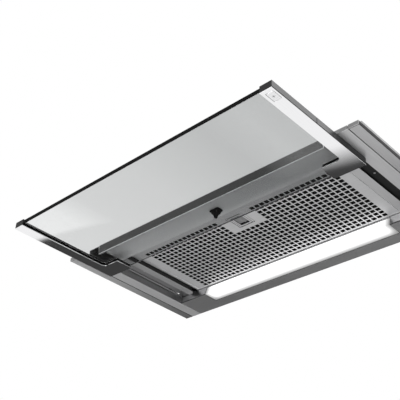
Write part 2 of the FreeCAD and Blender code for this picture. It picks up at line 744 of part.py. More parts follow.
# ---- fan --------------------------------------------------------------------------------------
def scroll_outline(grow, x):
    """Scroll section: three quarter arcs of growing radius, then straight up to the outlet."""
    radius = scroll_start_radius
    y, z = fan_y, fan_z
    edges = []
    start = V(x, y, z + radius + grow)
    first = start
    for shift_y, shift_z, angle in ((0, 0, 90), (1, 0, 180), (0, 1, 270)):
        y += shift_y * scroll_growth
        z += shift_z * scroll_growth
        if angle > 90:
            radius += scroll_growth
        r = radius + grow
        middle = math.radians(angle + 45)
        end = math.radians(angle + 90)
        edges.append(Part.Arc(start, V(x, y + r * math.cos(middle), z + r * math.sin(middle)),
                              V(x, y + r * math.cos(end), z + r * math.sin(end))).toShape())
        start = V(x, y + r * math.cos(end), z + r * math.sin(end))
    corners = [V(x, start.y, casing_top), V(x, outlet_front - grow, casing_top), first]
    for corner in corners:
        edges.append(Part.LineSegment(start, corner).toShape())
        start = corner
    return Part.Face(Part.Wire(edges))


def scroll_block(grow, x0, x1):
    return scroll_outline(grow, x0).extrude(V(x1 - x0, 0, 0))


def make_fan():
    half = scroll_half
    t = scroll_wall
    outlet_rear = fan_y + scroll_growth + scroll_start_radius + 2 * scroll_growth
    shell = cut(scroll_block(t, -half, half + t), [scroll_block(0, -half - 1, half)])
    flange = cut(cylinder_z(duct_hole + outlet_lip, 0, collar_y, casing_top - t, casing_top),
                 [box(-half, half, outlet_front, outlet_rear, casing_top - t - 1,
                      casing_top + 1),
                  box(-casing_half, casing_half, housing_rear - casing_flange - seam,
                      housing_rear, casing_top - t - 1, casing_top + 1)])
    hole = cylinder_x(shaft_hole, half - 1, half + t + 1, fan_y, fan_z)
    bolt_holes = [cylinder_x(screw_radius, half - 1, half + t + 1, y, z) for y, z in motor_bolts()]
    save("fan_scroll", cut(join([shell, flange]), [hole] + bolt_holes))

    plate = scroll_block(t, -half - t, -half).common(
        box(-half - t, -half, 0, tray_depth, 0, casing_top - t))
    mouth_end = -half - t - inlet_length
    mouth = cylinder_x(inlet_radius + inlet_wall, mouth_end, -half - t, fan_y, fan_z)
    rim = [edge for edge in mouth.Edges if abs(edge.BoundBox.XMax - mouth_end) < 0.01]
    mouth = mouth.makeFillet(inlet_round, rim)
    bore = cylinder_x(inlet_radius, mouth_end - 1, -half + 1, fan_y, fan_z)
    save("fan_inlet_ring", cut(join([plate, mouth]), [bore]))

    wheel_start = -half + wheel_front_gap
    wheel_end = half - wheel_rear_gap
    hub_start = wheel_end - hub_length
    blades = []
    for i in range(wheel_blades):
        one = box(wheel_start + wheel_rim / 2, wheel_end - wheel_rim / 2, fan_y + wheel_inner,
                  fan_y + wheel_radius - blade_thickness / 2, fan_z - blade_thickness / 2,
                  fan_z + blade_thickness / 2)
        one.rotate(V(0, fan_y + wheel_inner, fan_z), V(1, 0, 0), blade_lean)
        one.rotate(V(0, fan_y, fan_z), V(1, 0, 0), 360.0 * i / wheel_blades)
        blades.append(one)
    disc = cylinder_x(wheel_radius, wheel_end - wheel_rim, wheel_end, fan_y, fan_z)
    hub = cylinder_x(shaft_radius + hub_wall, hub_start, wheel_end, fan_y, fan_z)
    ring = cut(cylinder_x(wheel_radius, wheel_start, wheel_start + wheel_rim, fan_y, fan_z),
               [cylinder_x(wheel_inner + wheel_rim, wheel_start - 1, wheel_start + wheel_rim + 1,
                           fan_y, fan_z)])
    bore = cylinder_x(shaft_radius + press_fit, hub_start - 1, wheel_end + 1, fan_y, fan_z)
    save("impeller", cut(join([disc, hub, ring] + blades), [bore]))

    motor_start = half + t
    motor_end = motor_start + motor_length
    flange_end = motor_start + motor_flange
    save("motor_shaft", cylinder_x(shaft_radius, hub_start - wheel_rim, motor_end + shaft_end,
                                   fan_y, fan_z))
    body = join([cylinder_x(motor_flange_radius, motor_start, flange_end, fan_y, fan_z),
                 cylinder_x(motor_radius, flange_end, motor_end, fan_y, fan_z)])
    rim = [edge for edge in body.Edges if abs(edge.BoundBox.XMin - motor_end) < 0.01
           and edge.BoundBox.XLength < 0.01]
    body = body.makeFillet(motor_round, rim)
    bearing_radius = shaft_radius + bearing_wall
    bore = cylinder_x(bearing_radius, motor_start - 1, motor_end + 1, fan_y, fan_z)
    holes = [cylinder_x(screw_hole, motor_start - 1, flange_end + 1, y, z)
             for y, z in motor_bolts()]
    save("fan_motor", cut(body, [bore] + holes))
    sleeves = []
    for x in (motor_start + bearing_inset, motor_end - bearing_inset - bearing_length):
        sleeve = cut(cylinder_x(bearing_radius - press_fit, x, x + bearing_length, fan_y, fan_z),
                     [cylinder_x(shaft_radius + shaft_clearance, x - 1, x + bearing_length + 1,
                                 fan_y, fan_z)])
        sleeves.append(sleeve)
    save("motor_bearings", group(sleeves))
    head_radius, head_height = screw_head
    bolts = [join([cylinder_x(head_radius, flange_end, flange_end + head_height, y, z),
                   cylinder_x(screw_radius - shaft_clearance, half - 1, flange_end, y, z)])
             for y, z in motor_bolts()]
    save("motor_screws", group(bolts))


def motor_bolts():
    return [(fan_y + motor_bolt_radius * math.cos(angle), fan_z + motor_bolt_radius * math.sin(angle))
            for angle in (math.radians(90 + 360 * i / motor_bolt_count)
                          for i in range(motor_bolt_count))]


# ---- electrics ----------------------------------------------------------------------------------
def make_electrics():
    wall_x = casing_half - sheet
    wide, deep, high = box_size
    y0, z0 = box_corner
    x0 = wall_x - wide
    shell = cut(box(x0 + box_wall, wall_x, y0, y0 + deep, z0, z0 + high),
                [box(x0, wall_x - box_wall, y0 + box_wall, y0 + deep - box_wall, z0 + box_wall,
                     z0 + high - box_wall)])
    save("control_box", shell)
    save("control_box_lid", box(x0, x0 + box_wall, y0, y0 + deep, z0, z0 + high))
    board_x = wall_x - box_wall - control_board_gap
    board_front = board_x - board_thickness
    parts = [box(board_front, board_x, y0 + box_wall, y0 + deep - box_wall,
                 z0 + box_wall + control_board_edge, z0 + high - box_wall)]
    for y, z, size_x, size_y, size_z in (relay, transformer):
        parts.append(box(board_front - size_x, board_front, y0 + y, y0 + y + size_y,
                         z0 + z, z0 + z + size_z))
    save("control_board", join(parts))
    can_z = plenum_top + sheet
    save("capacitor", cylinder_z(capacitor_radius, wall_x - capacitor_radius - seam, capacitor_y,
                                 can_z, can_z + capacitor_length))
    x, y = gland_place
    thread_radius, thread_depth = gland_thread
    flange_radius, flange_height = gland_flange
    nut_radius, nut_height = gland_nut
    low_radius, high_radius, dome_height = gland_dome
    gland_top = lid_top + flange_height + dome_height
    thread_end = casing_top - thread_depth
    flange = cylinder_z(flange_radius, x, y, lid_top, lid_top + flange_height)
    dome = Part.makeCone(low_radius, high_radius, dome_height, V(x, y, lid_top + flange_height))
    thread = cylinder_z(thread_radius, x, y, thread_end, lid_top)
    bore = cylinder_z(gland_bore, x, y, thread_end - 1, gland_top + 1)
    corners = [math.radians(60 * i) for i in range(6)]
    nut = slab([(x + nut_radius * math.cos(a), y + nut_radius * math.sin(a)) for a in corners],
               casing_top - nut_height, casing_top)
    nut_hole = cylinder_z(thread_radius + nut_clearance, x, y, thread_end, lid_top)
    save("cable_gland", group([cut(join([flange, dome, thread]), [bore]), cut(nut, [nut_hole])]))
    wide, deep, high = sensor_size
    sensor_x = ledge_inner + sheet + sensor_gap
    sensor_y = magnet_y + drawer_out - sensor_lead
    save("reed_sensor", box(sensor_x, sensor_x + wide, sensor_y, sensor_y + deep,
                            ledge_top, ledge_top + high))


# ---- bumper -------------------------------------------------------------------------------------
def make_bumper():
    sections = ((ledge_z, bumper_top), (ledge_z - bumper_step, bumper_shoulder),
                (glass_top + bumper_gap, bumper_tip))
    wires = [rectangle_wire(latch_x, bumper_y, wide / 2, deep / 2, z)
             for z, (wide, deep) in sections]
    solids = [Part.makeLoft([upper, lower], True, True) for upper, lower in zip(wires, wires[1:])]
    peg = cylinder_z(bumper_peg, latch_x, bumper_y, ledge_z, ledge_top + bumper_neck)
    head = cylinder_z(bumper_peg + bumper_head, latch_x, bumper_y, ledge_top + peg_clearance,
                      ledge_top + bumper_neck)
    save("glass_bumper", join(solids + [peg, head]))


# ---- runners ------------------------------------------------------------------------------------
def make_runners():
    cavity_inner = slot_middle - guide_cavity / 2
    cavity_outer = slot_middle + guide_cavity / 2
    cavity_top = ceiling_top + guide_height - guide_wall
    top = ceiling_top + guide_height
    foot_end = guide_screw_x - screw_head[0] - seam
    profile = [
        (foot_end, ceiling_top),
        (cavity_inner, ceiling_top),
        (cavity_inner, cavity_top),
        (cavity_outer, cavity_top),
        (cavity_outer, ceiling_top),
        (cavity_outer + guide_wall, ceiling_top),
        (cavity_outer + guide_wall, top),
        (cavity_inner - guide_wall, top),
        (cavity_inner - guide_wall, ceiling_top + guide_wall),
        (foot_end, ceiling_top + guide_wall),
    ]
    section = face_of([V(x, guide_start, z) for x, z in profile])
    guide = section.extrude(V(0, guide_end - guide_start, 0))
    holes = [cylinder_z(screw_hole, guide_screw_x, y, ceiling_top - 1, top)
             for y in guide_screw_ys]
    save_pair("guide_rail", cut(guide, holes))
    screws = []
    for y in guide_screw_ys:
        screws += both(screw(guide_screw_x, y, ceiling_top + guide_wall, recess_ceiling))
    save("guide_screws", group(screws))

    stops = []
    carriage_front = guide_start + stop_length + seam
    carriage_rear = drawer_rear
    for y0 in (guide_start, carriage_rear + drawer_out + seam):
        stops += both(box(cavity_inner, cavity_outer, y0, y0 + stop_length, ceiling_top, cavity_top))
    save("end_stops", group(stops))

    web_inner = slot_middle - blade / 2
    web_outer = slot_middle + blade / 2
    plate_z = (ceiling_top + cavity_top) / 2
    carriage = join([
        box(core_inner + rail_sheet, web_outer, carriage_front, carriage_rear, rail_top,
            rail_top + carriage_base),
        box(web_inner, web_outer, carriage_front, carriage_rear, rail_top, plate_z + carriage_plate),
        box(cavity_inner + carriage_lip, web_outer, carriage_front, carriage_rear, plate_z,
            plate_z + carriage_plate),
    ])
    save_pair("carriage", carriage)
    blocks = []
    for y0 in (carriage_front + glide_inset, carriage_rear - glide_inset - glide_length):
        block = box(cavity_inner + seam, cavity_outer - seam, y0, y0 + glide_length,
                    ceiling_top + seam, cavity_top - seam)
        blocks += both(cut(block, [carriage]))
    save("glide_blocks", group(blocks))


# ---- drawer -------------------------------------------------------------------------------------
def make_drawer():
    y0, y1 = drawer_front, drawer_rear
    foot_inner = rail_inner - foot_reach
    foot_front = y1 - foot_depth
    key_half = button_size[0] / 2
    key_x = (core_inner + rail_sheet + core_outer - rail_sheet) / 2
    key_y0 = y0 + button_front
    key_y1 = key_y0 + button_size[1]
    core_front = y0 + cap_thickness
    core_rear = y1 - cap_thickness

    trim = slab([(rail_inner, y0), (rail_outer, y0), (rail_outer, y1), (foot_inner, y1),
                 (foot_inner, foot_front), (rail_inner, foot_front)], rail_bottom, trim_top)
    trim = round_uprights(trim, [(rail_inner, foot_front)], foot_fillet)
    trim = round_uprights(trim, [(foot_inner, foot_front), (foot_inner, y1)], trim_round)
    key_hole = box(key_x - key_half - button_gap, key_x + key_half + button_gap,
                   key_y0 - button_gap, key_y1 + button_gap, rail_bottom - 1, trim_top + 1)
    save("rail_trim_right", cut(trim, [key_hole]))
    save("rail_trim_left", mirrored(trim))

    core = cut(box(core_inner, core_outer, core_front, core_rear, trim_top, rail_top),
               [box(core_inner + rail_sheet, core_outer - rail_sheet, core_front - 1, core_rear + 1,
                    trim_top - 1, rail_top - rail_sheet)])
    save_pair("rail", core)
    cover_z = trim_top + cover_gap
    for name, cover0, cover1 in (("front", y0, side_seam_y - side_seam / 2),
                                 ("rear", side_seam_y + side_seam / 2, y1)):
        cover = box(core_outer, rail_outer, cover0, cover1, cover_z, rail_top)
        save("side_covers_" + name, group(both(cover)))
    caps = []
    for cap0, cap1 in ((y0, core_front), (core_rear, y1)):
        caps += both(box(rail_inner, core_outer, cap0, cap1, trim_top, rail_top))
    save("end_caps", group(caps))

    glass_half = rail_inner + glass_bite
    save("glass_pane", box(-glass_half, glass_half, y0 + edge_strip, core_rear - seam,
                           glass_bottom, glass_top))
    save("glass_edge_strip", box(-rail_inner, rail_inner, y0, y0 + edge_strip,
                                 glass_bottom - seam, glass_top + seam))
    gasket = cut(box(rail_inner, core_inner, core_front, core_rear, trim_top, rail_top),
                 [box(rail_inner - 1, glass_half + plate_gap, core_front - 1, core_rear + 1,
                      glass_bottom, glass_top)])
    save("glass_gaskets", group(both(gasket)))

    pad = box(foot_inner + pad_inset, rail_inner, foot_front + pad_inset, y1 - pad_inset,
              trim_top, glass_bottom)
    pad = round_uprights(pad, [(foot_inner + pad_inset, foot_front + pad_inset)], trim_round)
    save("foot_pads", group(both(pad)))
    clamp_x = foot_inner + clamp_inset[0]
    clamp_y = foot_front + clamp_inset[1]
    clamp_top = glass_top + clamp_thickness
    clamp = box(clamp_x, rail_inner, clamp_y, core_rear - seam, glass_top, clamp_top)
    clamp = round_uprights(clamp, [(clamp_x, clamp_y)], clamp_round)
    save("foot_clamps", group(both(clamp)))
    wide, deep, high = magnet_size
    magnet_x = ledge_inner + sheet + sensor_gap
    save("drawer_magnet", box(magnet_x, magnet_x + wide, magnet_y, magnet_y + deep,
                              clamp_top, clamp_top + high))

    # the button key is trapped by a wider flange above the trim
    drop, thickness, front_margin, rear_margin = button_board
    collar_width, collar_height = button_collar
    switch_half = switch_size[0] / 2
    stem_half = button_stem / 2
    key_y = (key_y0 + key_y1) / 2
    inside_top = rail_top - rail_sheet
    board_z = inside_top - drop
    switch_z = board_z - switch_size[1]
    collar_z = trim_top + seam
    collar_end = collar_z + collar_height
    key = join([
        box(key_x - key_half, key_x + key_half, key_y0, key_y1, rail_bottom, collar_end),
        box(key_x - key_half, key_x + key_half, key_y0 - collar_width, key_y1 + collar_width,
            collar_z, collar_end),
        box(key_x - stem_half, key_x + stem_half, key_y - stem_half, key_y + stem_half,
            collar_end, switch_z - button_travel - seam),
    ])
    save("button_key", key)
    board = box(core_inner + rail_sheet, core_outer - rail_sheet, key_y0 - front_margin,
                key_y1 + rear_margin, board_z, board_z + thickness)
    switch = box(key_x - switch_half, key_x + switch_half, key_y - switch_half,
                 key_y + switch_half, switch_z, board_z)
    post_y = key_y1 + board_post[0]
    post = box(key_x - switch_half, key_x + switch_half, post_y, post_y + board_post[1],
               board_z + thickness, inside_top)
    save("button_board", join([board, switch, post]))


def round_uprights(shape, corners, radius):
    """Rounds the upright edges that stand at the given corners in plan."""
    found = [edge for edge in shape.Edges
             if edge.BoundBox.XLength < 0.01 and edge.BoundBox.YLength < 0.01
             and any(abs(edge.BoundBox.XMin - x) < 0.01 and abs(edge.BoundBox.YMin - y) < 0.01
                     for x, y in corners)]
    return shape.makeFillet(radius, found)


os.makedirs("parts", exist_ok=True)
make_trim()
make_side_channel()
make_front_panel()
make_rear_panel()
make_light()
make_filter()
make_latch()
make_housing()
make_collar()
make_fan()
make_electrics()
make_bumper()
make_runners()
make_drawer()
print("written", len(os.listdir("parts")), "files")
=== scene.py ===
import bpy
import bmesh
import json
import numpy as np
from mathutils import Matrix, Vector


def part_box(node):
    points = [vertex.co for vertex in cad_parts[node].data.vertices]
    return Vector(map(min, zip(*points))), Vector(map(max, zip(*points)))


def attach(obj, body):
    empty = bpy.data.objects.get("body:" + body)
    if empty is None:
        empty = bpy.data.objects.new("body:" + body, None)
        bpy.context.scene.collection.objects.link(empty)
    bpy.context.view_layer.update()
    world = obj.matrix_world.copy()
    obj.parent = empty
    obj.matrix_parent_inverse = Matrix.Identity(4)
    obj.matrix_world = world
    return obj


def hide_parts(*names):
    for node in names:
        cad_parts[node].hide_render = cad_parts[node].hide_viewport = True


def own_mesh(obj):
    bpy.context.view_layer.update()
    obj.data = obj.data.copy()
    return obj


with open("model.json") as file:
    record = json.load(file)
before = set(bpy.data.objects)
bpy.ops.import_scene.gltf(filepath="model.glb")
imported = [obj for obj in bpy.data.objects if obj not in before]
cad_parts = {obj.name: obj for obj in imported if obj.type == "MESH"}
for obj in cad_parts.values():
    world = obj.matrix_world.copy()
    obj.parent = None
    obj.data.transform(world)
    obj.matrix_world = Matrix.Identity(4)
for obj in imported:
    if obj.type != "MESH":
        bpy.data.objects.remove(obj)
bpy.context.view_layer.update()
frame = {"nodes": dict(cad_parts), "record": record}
nodes = frame["nodes"]
print("frame loaded:", len(nodes), "nodes")


def meshObject(name, points, faces):
    mesh = bpy.data.meshes.new(name)
    mesh.from_pydata(points.tolist(), [], faces)
    mesh.shade_smooth()
    made = bpy.data.objects.new(name, mesh)
    bpy.context.scene.collection.objects.link(made)
    return made


def gridObject(name, points, closed=False):
    # points is rows x columns x 3; each face joins two neighbours in both directions. The
    # columns of a closed shape run round it, and its first and last row get a flat end face
    rows, columns = points.shape[:2]
    index = np.arange(rows * columns).reshape(rows, columns)
    if closed:
        index = np.hstack([index, index[:, :1]])
    quads = np.stack([index[:-1, :-1], index[:-1, 1:], index[1:, 1:], index[1:, :-1]], -1)
    faces = quads.reshape(-1, 4).tolist()
    if closed:
        faces += [index[0, :columns][::-1].tolist(), index[-1, :columns].tolist()]
    return meshObject(name, points.reshape(-1, 3), faces)


def roundedOutline(halfX, halfY, corner, steps=4):
    # rectangle whose corners are quarter circles: each corner's middle plus the corner
    # radius times (cosine, sine) of an angle that turns once round the outline
    angle = np.linspace(0, np.pi / 2, steps + 1)[None, :] + np.arange(4)[:, None] * np.pi / 2
    signX = np.array([1, -1, -1, 1])[:, None]
    signY = np.array([1, 1, -1, -1])[:, None]
    x = signX * (halfX - corner) + corner * np.cos(angle)
    y = signY * (halfY - corner) + corner * np.sin(angle)
    return np.stack([x.ravel(), y.ravel()], -1)


def superEllipse(halfX, halfY, power, count=40):
    # |x / halfX| to the power plus |y / halfY| to the power is 1, walked round by an angle
    angle = np.linspace(0, 2 * np.pi, count, endpoint=False)
    c, s = np.cos(angle), np.sin(angle)
    x = halfX * np.sign(c) * np.abs(c) ** (2 / power)
    y = halfY * np.sign(s) * np.abs(s) ** (2 / power)
    return np.stack([x, y], -1)


def atHeights(outlines, heights, middle):
    # puts each outline at its height, round the middle (x, y)
    stack = np.stack(outlines)
    level = np.broadcast_to(np.asarray(heights)[:, None, None], stack.shape[:2] + (1,))
    return np.concatenate([stack + np.asarray(middle), level], -1)


def roundSteps(radius, steps=3):
    # quarter circle from level to upright: ring by ring, the radius times one less the sine
    # is how far in it lies, and the radius times one less the cosine how far up
    angle = np.linspace(0, np.pi / 2, steps + 1)
    return radius * (1 - np.sin(angle)), radius * (1 - np.cos(angle))


levelFace = 0.999   # a face counts as level when its normal has at least this much of Z


def smoothSides(piece):
    # level faces are shaded flat and all others smooth; gives back the faces' normals
    normals = np.array([face.normal for face in piece.data.polygons])
    piece.data.polygons.foreach_set("use_smooth", np.abs(normals[:, 2]) < levelFace)
    return normals


def bodyOf(nodeName):
    for body, members in frame["record"]["behaviour"]["bodies"].items():
        if nodeName in members:
            return body


def standFor(piece, nodeName, *finishNames):
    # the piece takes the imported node's place, with these finishes in its material slots
    for finish in finishNames:
        piece.data.materials.append(materials[finish])
    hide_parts(nodeName)
    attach(piece, bodyOf(nodeName))
    return piece


# The photograph's camera: place in metres, its three axes, lens and sensor in millimetres
view = {
    "place": (0.7096, -0.6932, -0.6579),
    "right": (0.72845, 0.68329, 0.04980),
    "up": (0.34803, -0.43168, 0.83218),
    "forward": (-0.59012, 0.58887, 0.55227),
    "lens": 69.67,
    "sensor": 36.0,
    "clip": (0.05, 60),
}


def makeCamera():
    data = bpy.data.cameras.new("camera")
    data.lens = view["lens"]
    data.sensor_width = view["sensor"]
    data.clip_start, data.clip_end = view["clip"]
    camera = bpy.data.objects.new("camera", data)
    turn = Matrix((view["right"], view["up"], [-v for v in view["forward"]])).transposed()
    camera.matrix_world = Matrix.Translation(view["place"]) @ turn.to_4x4()
    bpy.context.scene.collection.objects.link(camera)
    bpy.context.scene.camera = camera


studio = {
    "worldStrength": 1.0,
    "floorZ": -1.6,          # the hood hangs this far above the floor
    "floorHalf": 9.0,
    "floorColour": 0.8,
    "floorRoughness": 0.9,
    "flagCorners": (-4.6, 0.3, 0.4, 5.2),   # lowest x and y, highest x and y of the dark flag
    "flagGrid": (139, 289),                 # its points along x and y
    "flagLift": 0.01,                       # its height above the floor
    "flagEdge": (1.40, 0.24, -2.60),        # its front edge: y and slope, at the x given third
    "flagSoft": (0.015, 0.09),              # half width of that edge there and at flagSoftX
    "flagSoftX": -0.86,
    "flagTab": (-2.35, -1.05, 1.0),         # part that reaches forward for the glass: x, x and y
    "flagTabSoft": 0.2,                     # width over which the tab's sides and front fade
    "flagColour": 0.05,
    "lamps": {   # place, the point that the lamp looks at, its size and its power
        "below": ((0.1, -1.2, -1.3), (0.0, 0.1, 0.0), (2.0, 1.0), 18),
        "front": ((0.8, -1.8, 0.6), (0, 0.1, 0.05), (1.6, 1.2), 8),
    },
}


def addLamp(name, place, aim, size, power):
    data = bpy.data.lights.new(name, "AREA")
    data.shape = "RECTANGLE"
    data.size, data.size_y = size
    data.energy = power
    lamp = bpy.data.objects.new(name, data)
    lamp.location = place
    lamp.rotation_mode = "QUATERNION"
    lamp.rotation_quaternion = (Vector(aim) - Vector(place)).to_track_quat("-Z", "Y")
    bpy.context.scene.collection.objects.link(lamp)


def maths(tree, operation, first, second):
    # works on two sockets, or a socket and a number
    node = tree.nodes.new("ShaderNodeMath")
    node.operation = operation
    for socket, value in zip(node.inputs, (first, second)):
        if isinstance(value, (int, float)):
            socket.default_value = value
        else:
            tree.links.new(value, socket)
    return node.outputs[0]


def makeWorld():
    world = bpy.data.worlds.new("studio")
    bpy.context.scene.world = world
    world.use_nodes = True
    tree = world.node_tree
    tree.nodes.clear()
    out = tree.nodes.new("ShaderNodeOutputWorld")
    white = tree.nodes.new("ShaderNodeBackground")
    white.inputs["Color"].default_value = (1, 1, 1, 1)
    white.inputs["Strength"].default_value = studio["worldStrength"]
    tree.links.new(white.outputs[0], out.inputs[0])


def makeFloor():
    # pale paint, which metal and glass show as the white of the world
    half, z = studio["floorHalf"], studio["floorZ"]
    mesh = bpy.data.meshes.new("floor")
    mesh.from_pydata([(-half, -half, z), (half, -half, z), (half, half, z), (-half, half, z)],
                     [], [(0, 1, 2, 3)])
    floor = bpy.data.objects.new("floor", mesh)
    bpy.context.scene.collection.objects.link(floor)
    mat = bpy.data.materials.new("floorPaint")
    mat.use_nodes = True
    tree = mat.node_tree
    paint = tree.nodes["Principled BSDF"]
    tone = studio["floorColour"]
    paint.inputs["Base Color"].default_value = (tone, tone, tone, 1)
    paint.inputs["Roughness"].default_value = studio["floorRoughness"]
    mirrored = tree.nodes.new("ShaderNodeEmission")
    path = tree.nodes.new("ShaderNodeLightPath")
    mix = tree.nodes.new("ShaderNodeMixShader")
    seenIn = maths(tree, "MAXIMUM", path.outputs["Is Glossy Ray"],
                   path.outputs["Is Transmission Ray"])
    tree.links.new(seenIn, mix.inputs[0])
    tree.links.new(paint.outputs[0], mix.inputs[1])
    tree.links.new(mirrored.outputs[0], mix.inputs[2])
    tree.links.new(mix.outputs[0], tree.nodes["Material Output"].inputs[0])
    mesh.materials.append(mat)


def makeFlag():
    # dark flag on the floor, which only polished and lacquered faces mirror. It covers the
    # floor where y is past a slanted edge, or inside a tab, and fades across their borders
    x0, y0, x1, y1 = studio["flagCorners"]
    countX, countY = studio["flagGrid"]
    x, y = np.meshgrid(np.linspace(x0, x1, countX), np.linspace(y0, y1, countY), indexing="ij")
    edgeY, slope, edgeX = studio["flagEdge"]
    soft = np.interp(x, (edgeX, studio["flagSoftX"]), studio["flagSoft"])
    cover = np.clip((y - edgeY - slope * (x - edgeX)) / soft / 2 + 0.5, 0, 1)
    tab0, tab1, tabY = studio["flagTab"]
    fade = studio["flagTabSoft"]
    tab = np.clip((x - tab0) / fade, 0, 1) * np.clip((tab1 - x) / fade, 0, 1)
    cover = np.maximum(cover, tab * np.clip((y - tabY) / fade, 0, 1))
    z = np.full_like(x, studio["floorZ"] + studio["flagLift"])
    flag = gridObject("flag", np.stack([x, y, z], -1))
    share = flag.data.attributes.new("cover", "FLOAT", "POINT")
    share.data.foreach_set("value", cover.ravel())

    mat, tree, shader = newMaterial("flagCloth")
    dark = studio["flagColour"]
    shader.inputs["Base Color"].default_value = (dark, dark, dark, 1)
    shader.inputs["Roughness"].default_value = 1.0
    shader.inputs["Specular IOR Level"].default_value = 0.0
    share = tree.nodes.new("ShaderNodeAttribute")
    share.attribute_name = "cover"
    path = tree.nodes.new("ShaderNodeLightPath")
    mirrored = maths(tree, "MINIMUM", path.outputs["Glossy Depth"], 1.0)
    alpha = maths(tree, "MULTIPLY", mirrored, share.outputs["Fac"])
    tree.links.new(alpha, shader.inputs["Alpha"])
    flag.data.materials.append(mat)
    flag.visible_camera = False
    flag.visible_diffuse = False
    flag.visible_shadow = False


def newMaterial(name):
    mat = bpy.data.materials.new(name)
    mat.use_nodes = True
    tree = mat.node_tree
    tree.nodes.clear()
    out = tree.nodes.new("ShaderNodeOutputMaterial")
    shader = tree.nodes.new("ShaderNodeBsdfPrincipled")
    tree.links.new(shader.outputs[0], out.inputs[0])
    return mat, tree, shader


noiseBand = (0.3, 0.7)   # most of a noise's values lie here


def streaks(tree, scale, detail=4.0, rough=0.6):
    # noise on Object coordinates, stretched by a different scale along each axis
    place = tree.nodes.new("ShaderNodeTexCoord")
    stretch = tree.nodes.new("ShaderNodeMapping")
    stretch.inputs["Scale"].default_value = scale
    noise = tree.nodes.new("ShaderNodeTexNoise")
    noise.inputs["Scale"].default_value = 1.0
    noise.inputs["Detail"].default_value = detail
    noise.inputs["Roughness"].default_value = rough
    tree.links.new(place.outputs["Object"], stretch.inputs[0])
    tree.links.new(stretch.outputs[0], noise.inputs["Vector"])
    return noise.outputs["Fac"]


def mapped(tree, value, source, target, kind="LINEAR"):
    # carries the range source over to the range target
    part = tree.nodes.new("ShaderNodeMapRange")
    part.interpolation_type = kind
    part.inputs["From Min"].default_value, part.inputs["From Max"].default_value = source
    part.inputs["To Min"].default_value, part.inputs["To Max"].default_value = target
    tree.links.new(value, part.inputs["Value"])
    return part.outputs[0]


def shade(tree, value, dark, light):
    ramp = tree.nodes.new("ShaderNodeValToRGB")
    for element, position, colour in zip(ramp.color_ramp.elements, noiseBand, (dark, light)):
        element.position = position
        element.color = (*colour, 1)
    tree.links.new(value, ramp.inputs[0])
    return ramp.outputs[0]


def relief(tree, shader, value, strength, depth):
    bump = tree.nodes.new("ShaderNodeBump")
    bump.inputs["Strength"].default_value = strength
    bump.inputs["Distance"].default_value = depth
    tree.links.new(value, bump.inputs["Height"])
    tree.links.new(bump.outputs[0], shader.inputs["Normal"])


# the grain's scale, along a sheet's length and across it, and its depth in metres
alongX, alongY = (25, 2500, 2500), (2500, 25, 2500)
brushed, polished = 0.00002, 0.000003

metals = {   # darkest and lightest grey, roughness, grain, how metallic, depth of the grain
    "traySteel": (0.50, 0.58, (0.30, 0.42), alongX, 1.0, brushed),
    "channelSteel": (0.52, 0.60, (0.30, 0.42), alongY, 0.7, brushed),
    "panelSteel": (0.84, 0.92, (0.35, 0.45), alongX, 0.35, brushed),
    "trimSteel": (0.46, 0.54, (0.30, 0.42), alongY, 0.7, brushed),
    # painted shade: the next two are darker copies of the channel's steel, for the left ledge and
    # inside the recesses
    "ledgeShadeSteel": (0.40, 0.48, (0.30, 0.42), alongY, 0.7, brushed),
    "recessShadeSteel": (0.32, 0.38, (0.30, 0.42), alongY, 1.0, brushed),
    # painted shade: near black for the front wall, which lies in shade behind the drawer
    "frontWallShade": (0.035, 0.045, (0.45, 0.55), alongX, 0.0, brushed),
    # dark steel on the rails, and painted shade on the carriages, the right recess, outer sides,
    # edge rounds and inside the latch cup
    "darkSteelAndShade": (0.03, 0.05, (0.35, 0.5), (600, 600, 600), 1.0, brushed),
    # painted highlight: a lighter, more metallic copy of steel for edge rounds and the front wall's
    # lip
    "paintedHighlightEdge": (0.85, 0.92, (0.25, 0.35), (400, 400, 400), 1.0, brushed),
    "polishedSteel": (0.84, 0.89, (0.025, 0.045), alongY, 1.0, polished),
    "keySteel": (0.80, 0.86, (0.12, 0.18), alongY, 1.0, polished),
    "coverSteel": (0.20, 0.25, (0.25, 0.35), alongY, 1.0, brushed),
    # painted shade: this copy of the cover steel darkens towards the rear
    "coverSteelRearShade": (0.20, 0.25, (0.25, 0.35), alongY, 1.0, brushed),
    "zincSheet": (0.42, 0.60, (0.35, 0.5), (60, 60, 60), 1.0, brushed),
    "zincSteel": (0.5, 0.6, (0.25, 0.4), (400, 400, 400), 1.0, brushed),
    "filterAluminium": (0.66, 0.76, (0.55, 0.65), (30, 1500, 1500), 1.0, brushed),
    "plateAluminium": (0.78, 0.88, (0.40, 0.50), (30, 1500, 1500), 1.0, brushed),
    "latchAluminium": (0.36, 0.42, (0.35, 0.45), (30, 1500, 1500), 1.0, brushed),
}
paintedShadeAlong = {   # painted shade towards the rear: axis, where along it the steel starts and ends to darken, and what is left
    "trimSteel": ("Y", (0.05, 0.32), 0.35),
    "coverSteelRearShade": ("Y", (-0.030, 0.012), 0.06),
}
plastics = {   # colour, roughness, gloss and grain
    "blackPlastic": ((0.006, 0.006, 0.006), (0.45, 0.6), 0.25, 900.0),
    "blackRubber": ((0.004, 0.004, 0.004), (0.6, 0.8), 0.05, 900.0),
    "knitMesh": ((0.004, 0.004, 0.004), (0.8, 0.95), 0.05, 1200.0),
    "board": ((0.03, 0.14, 0.06), (0.4, 0.5), 0.5, 900.0),
    # painted shade: near black for the rear edge of the glass pane
    "paneEdgeShade": ((0.02, 0.022, 0.022), (0.35, 0.5), 0.5, 900.0),
}
bronze = {"dark": (0.42, 0.28, 0.12), "light": (0.52, 0.36, 0.18), "roughness": (0.35, 0.5),
          "grain": (600, 600, 600)}


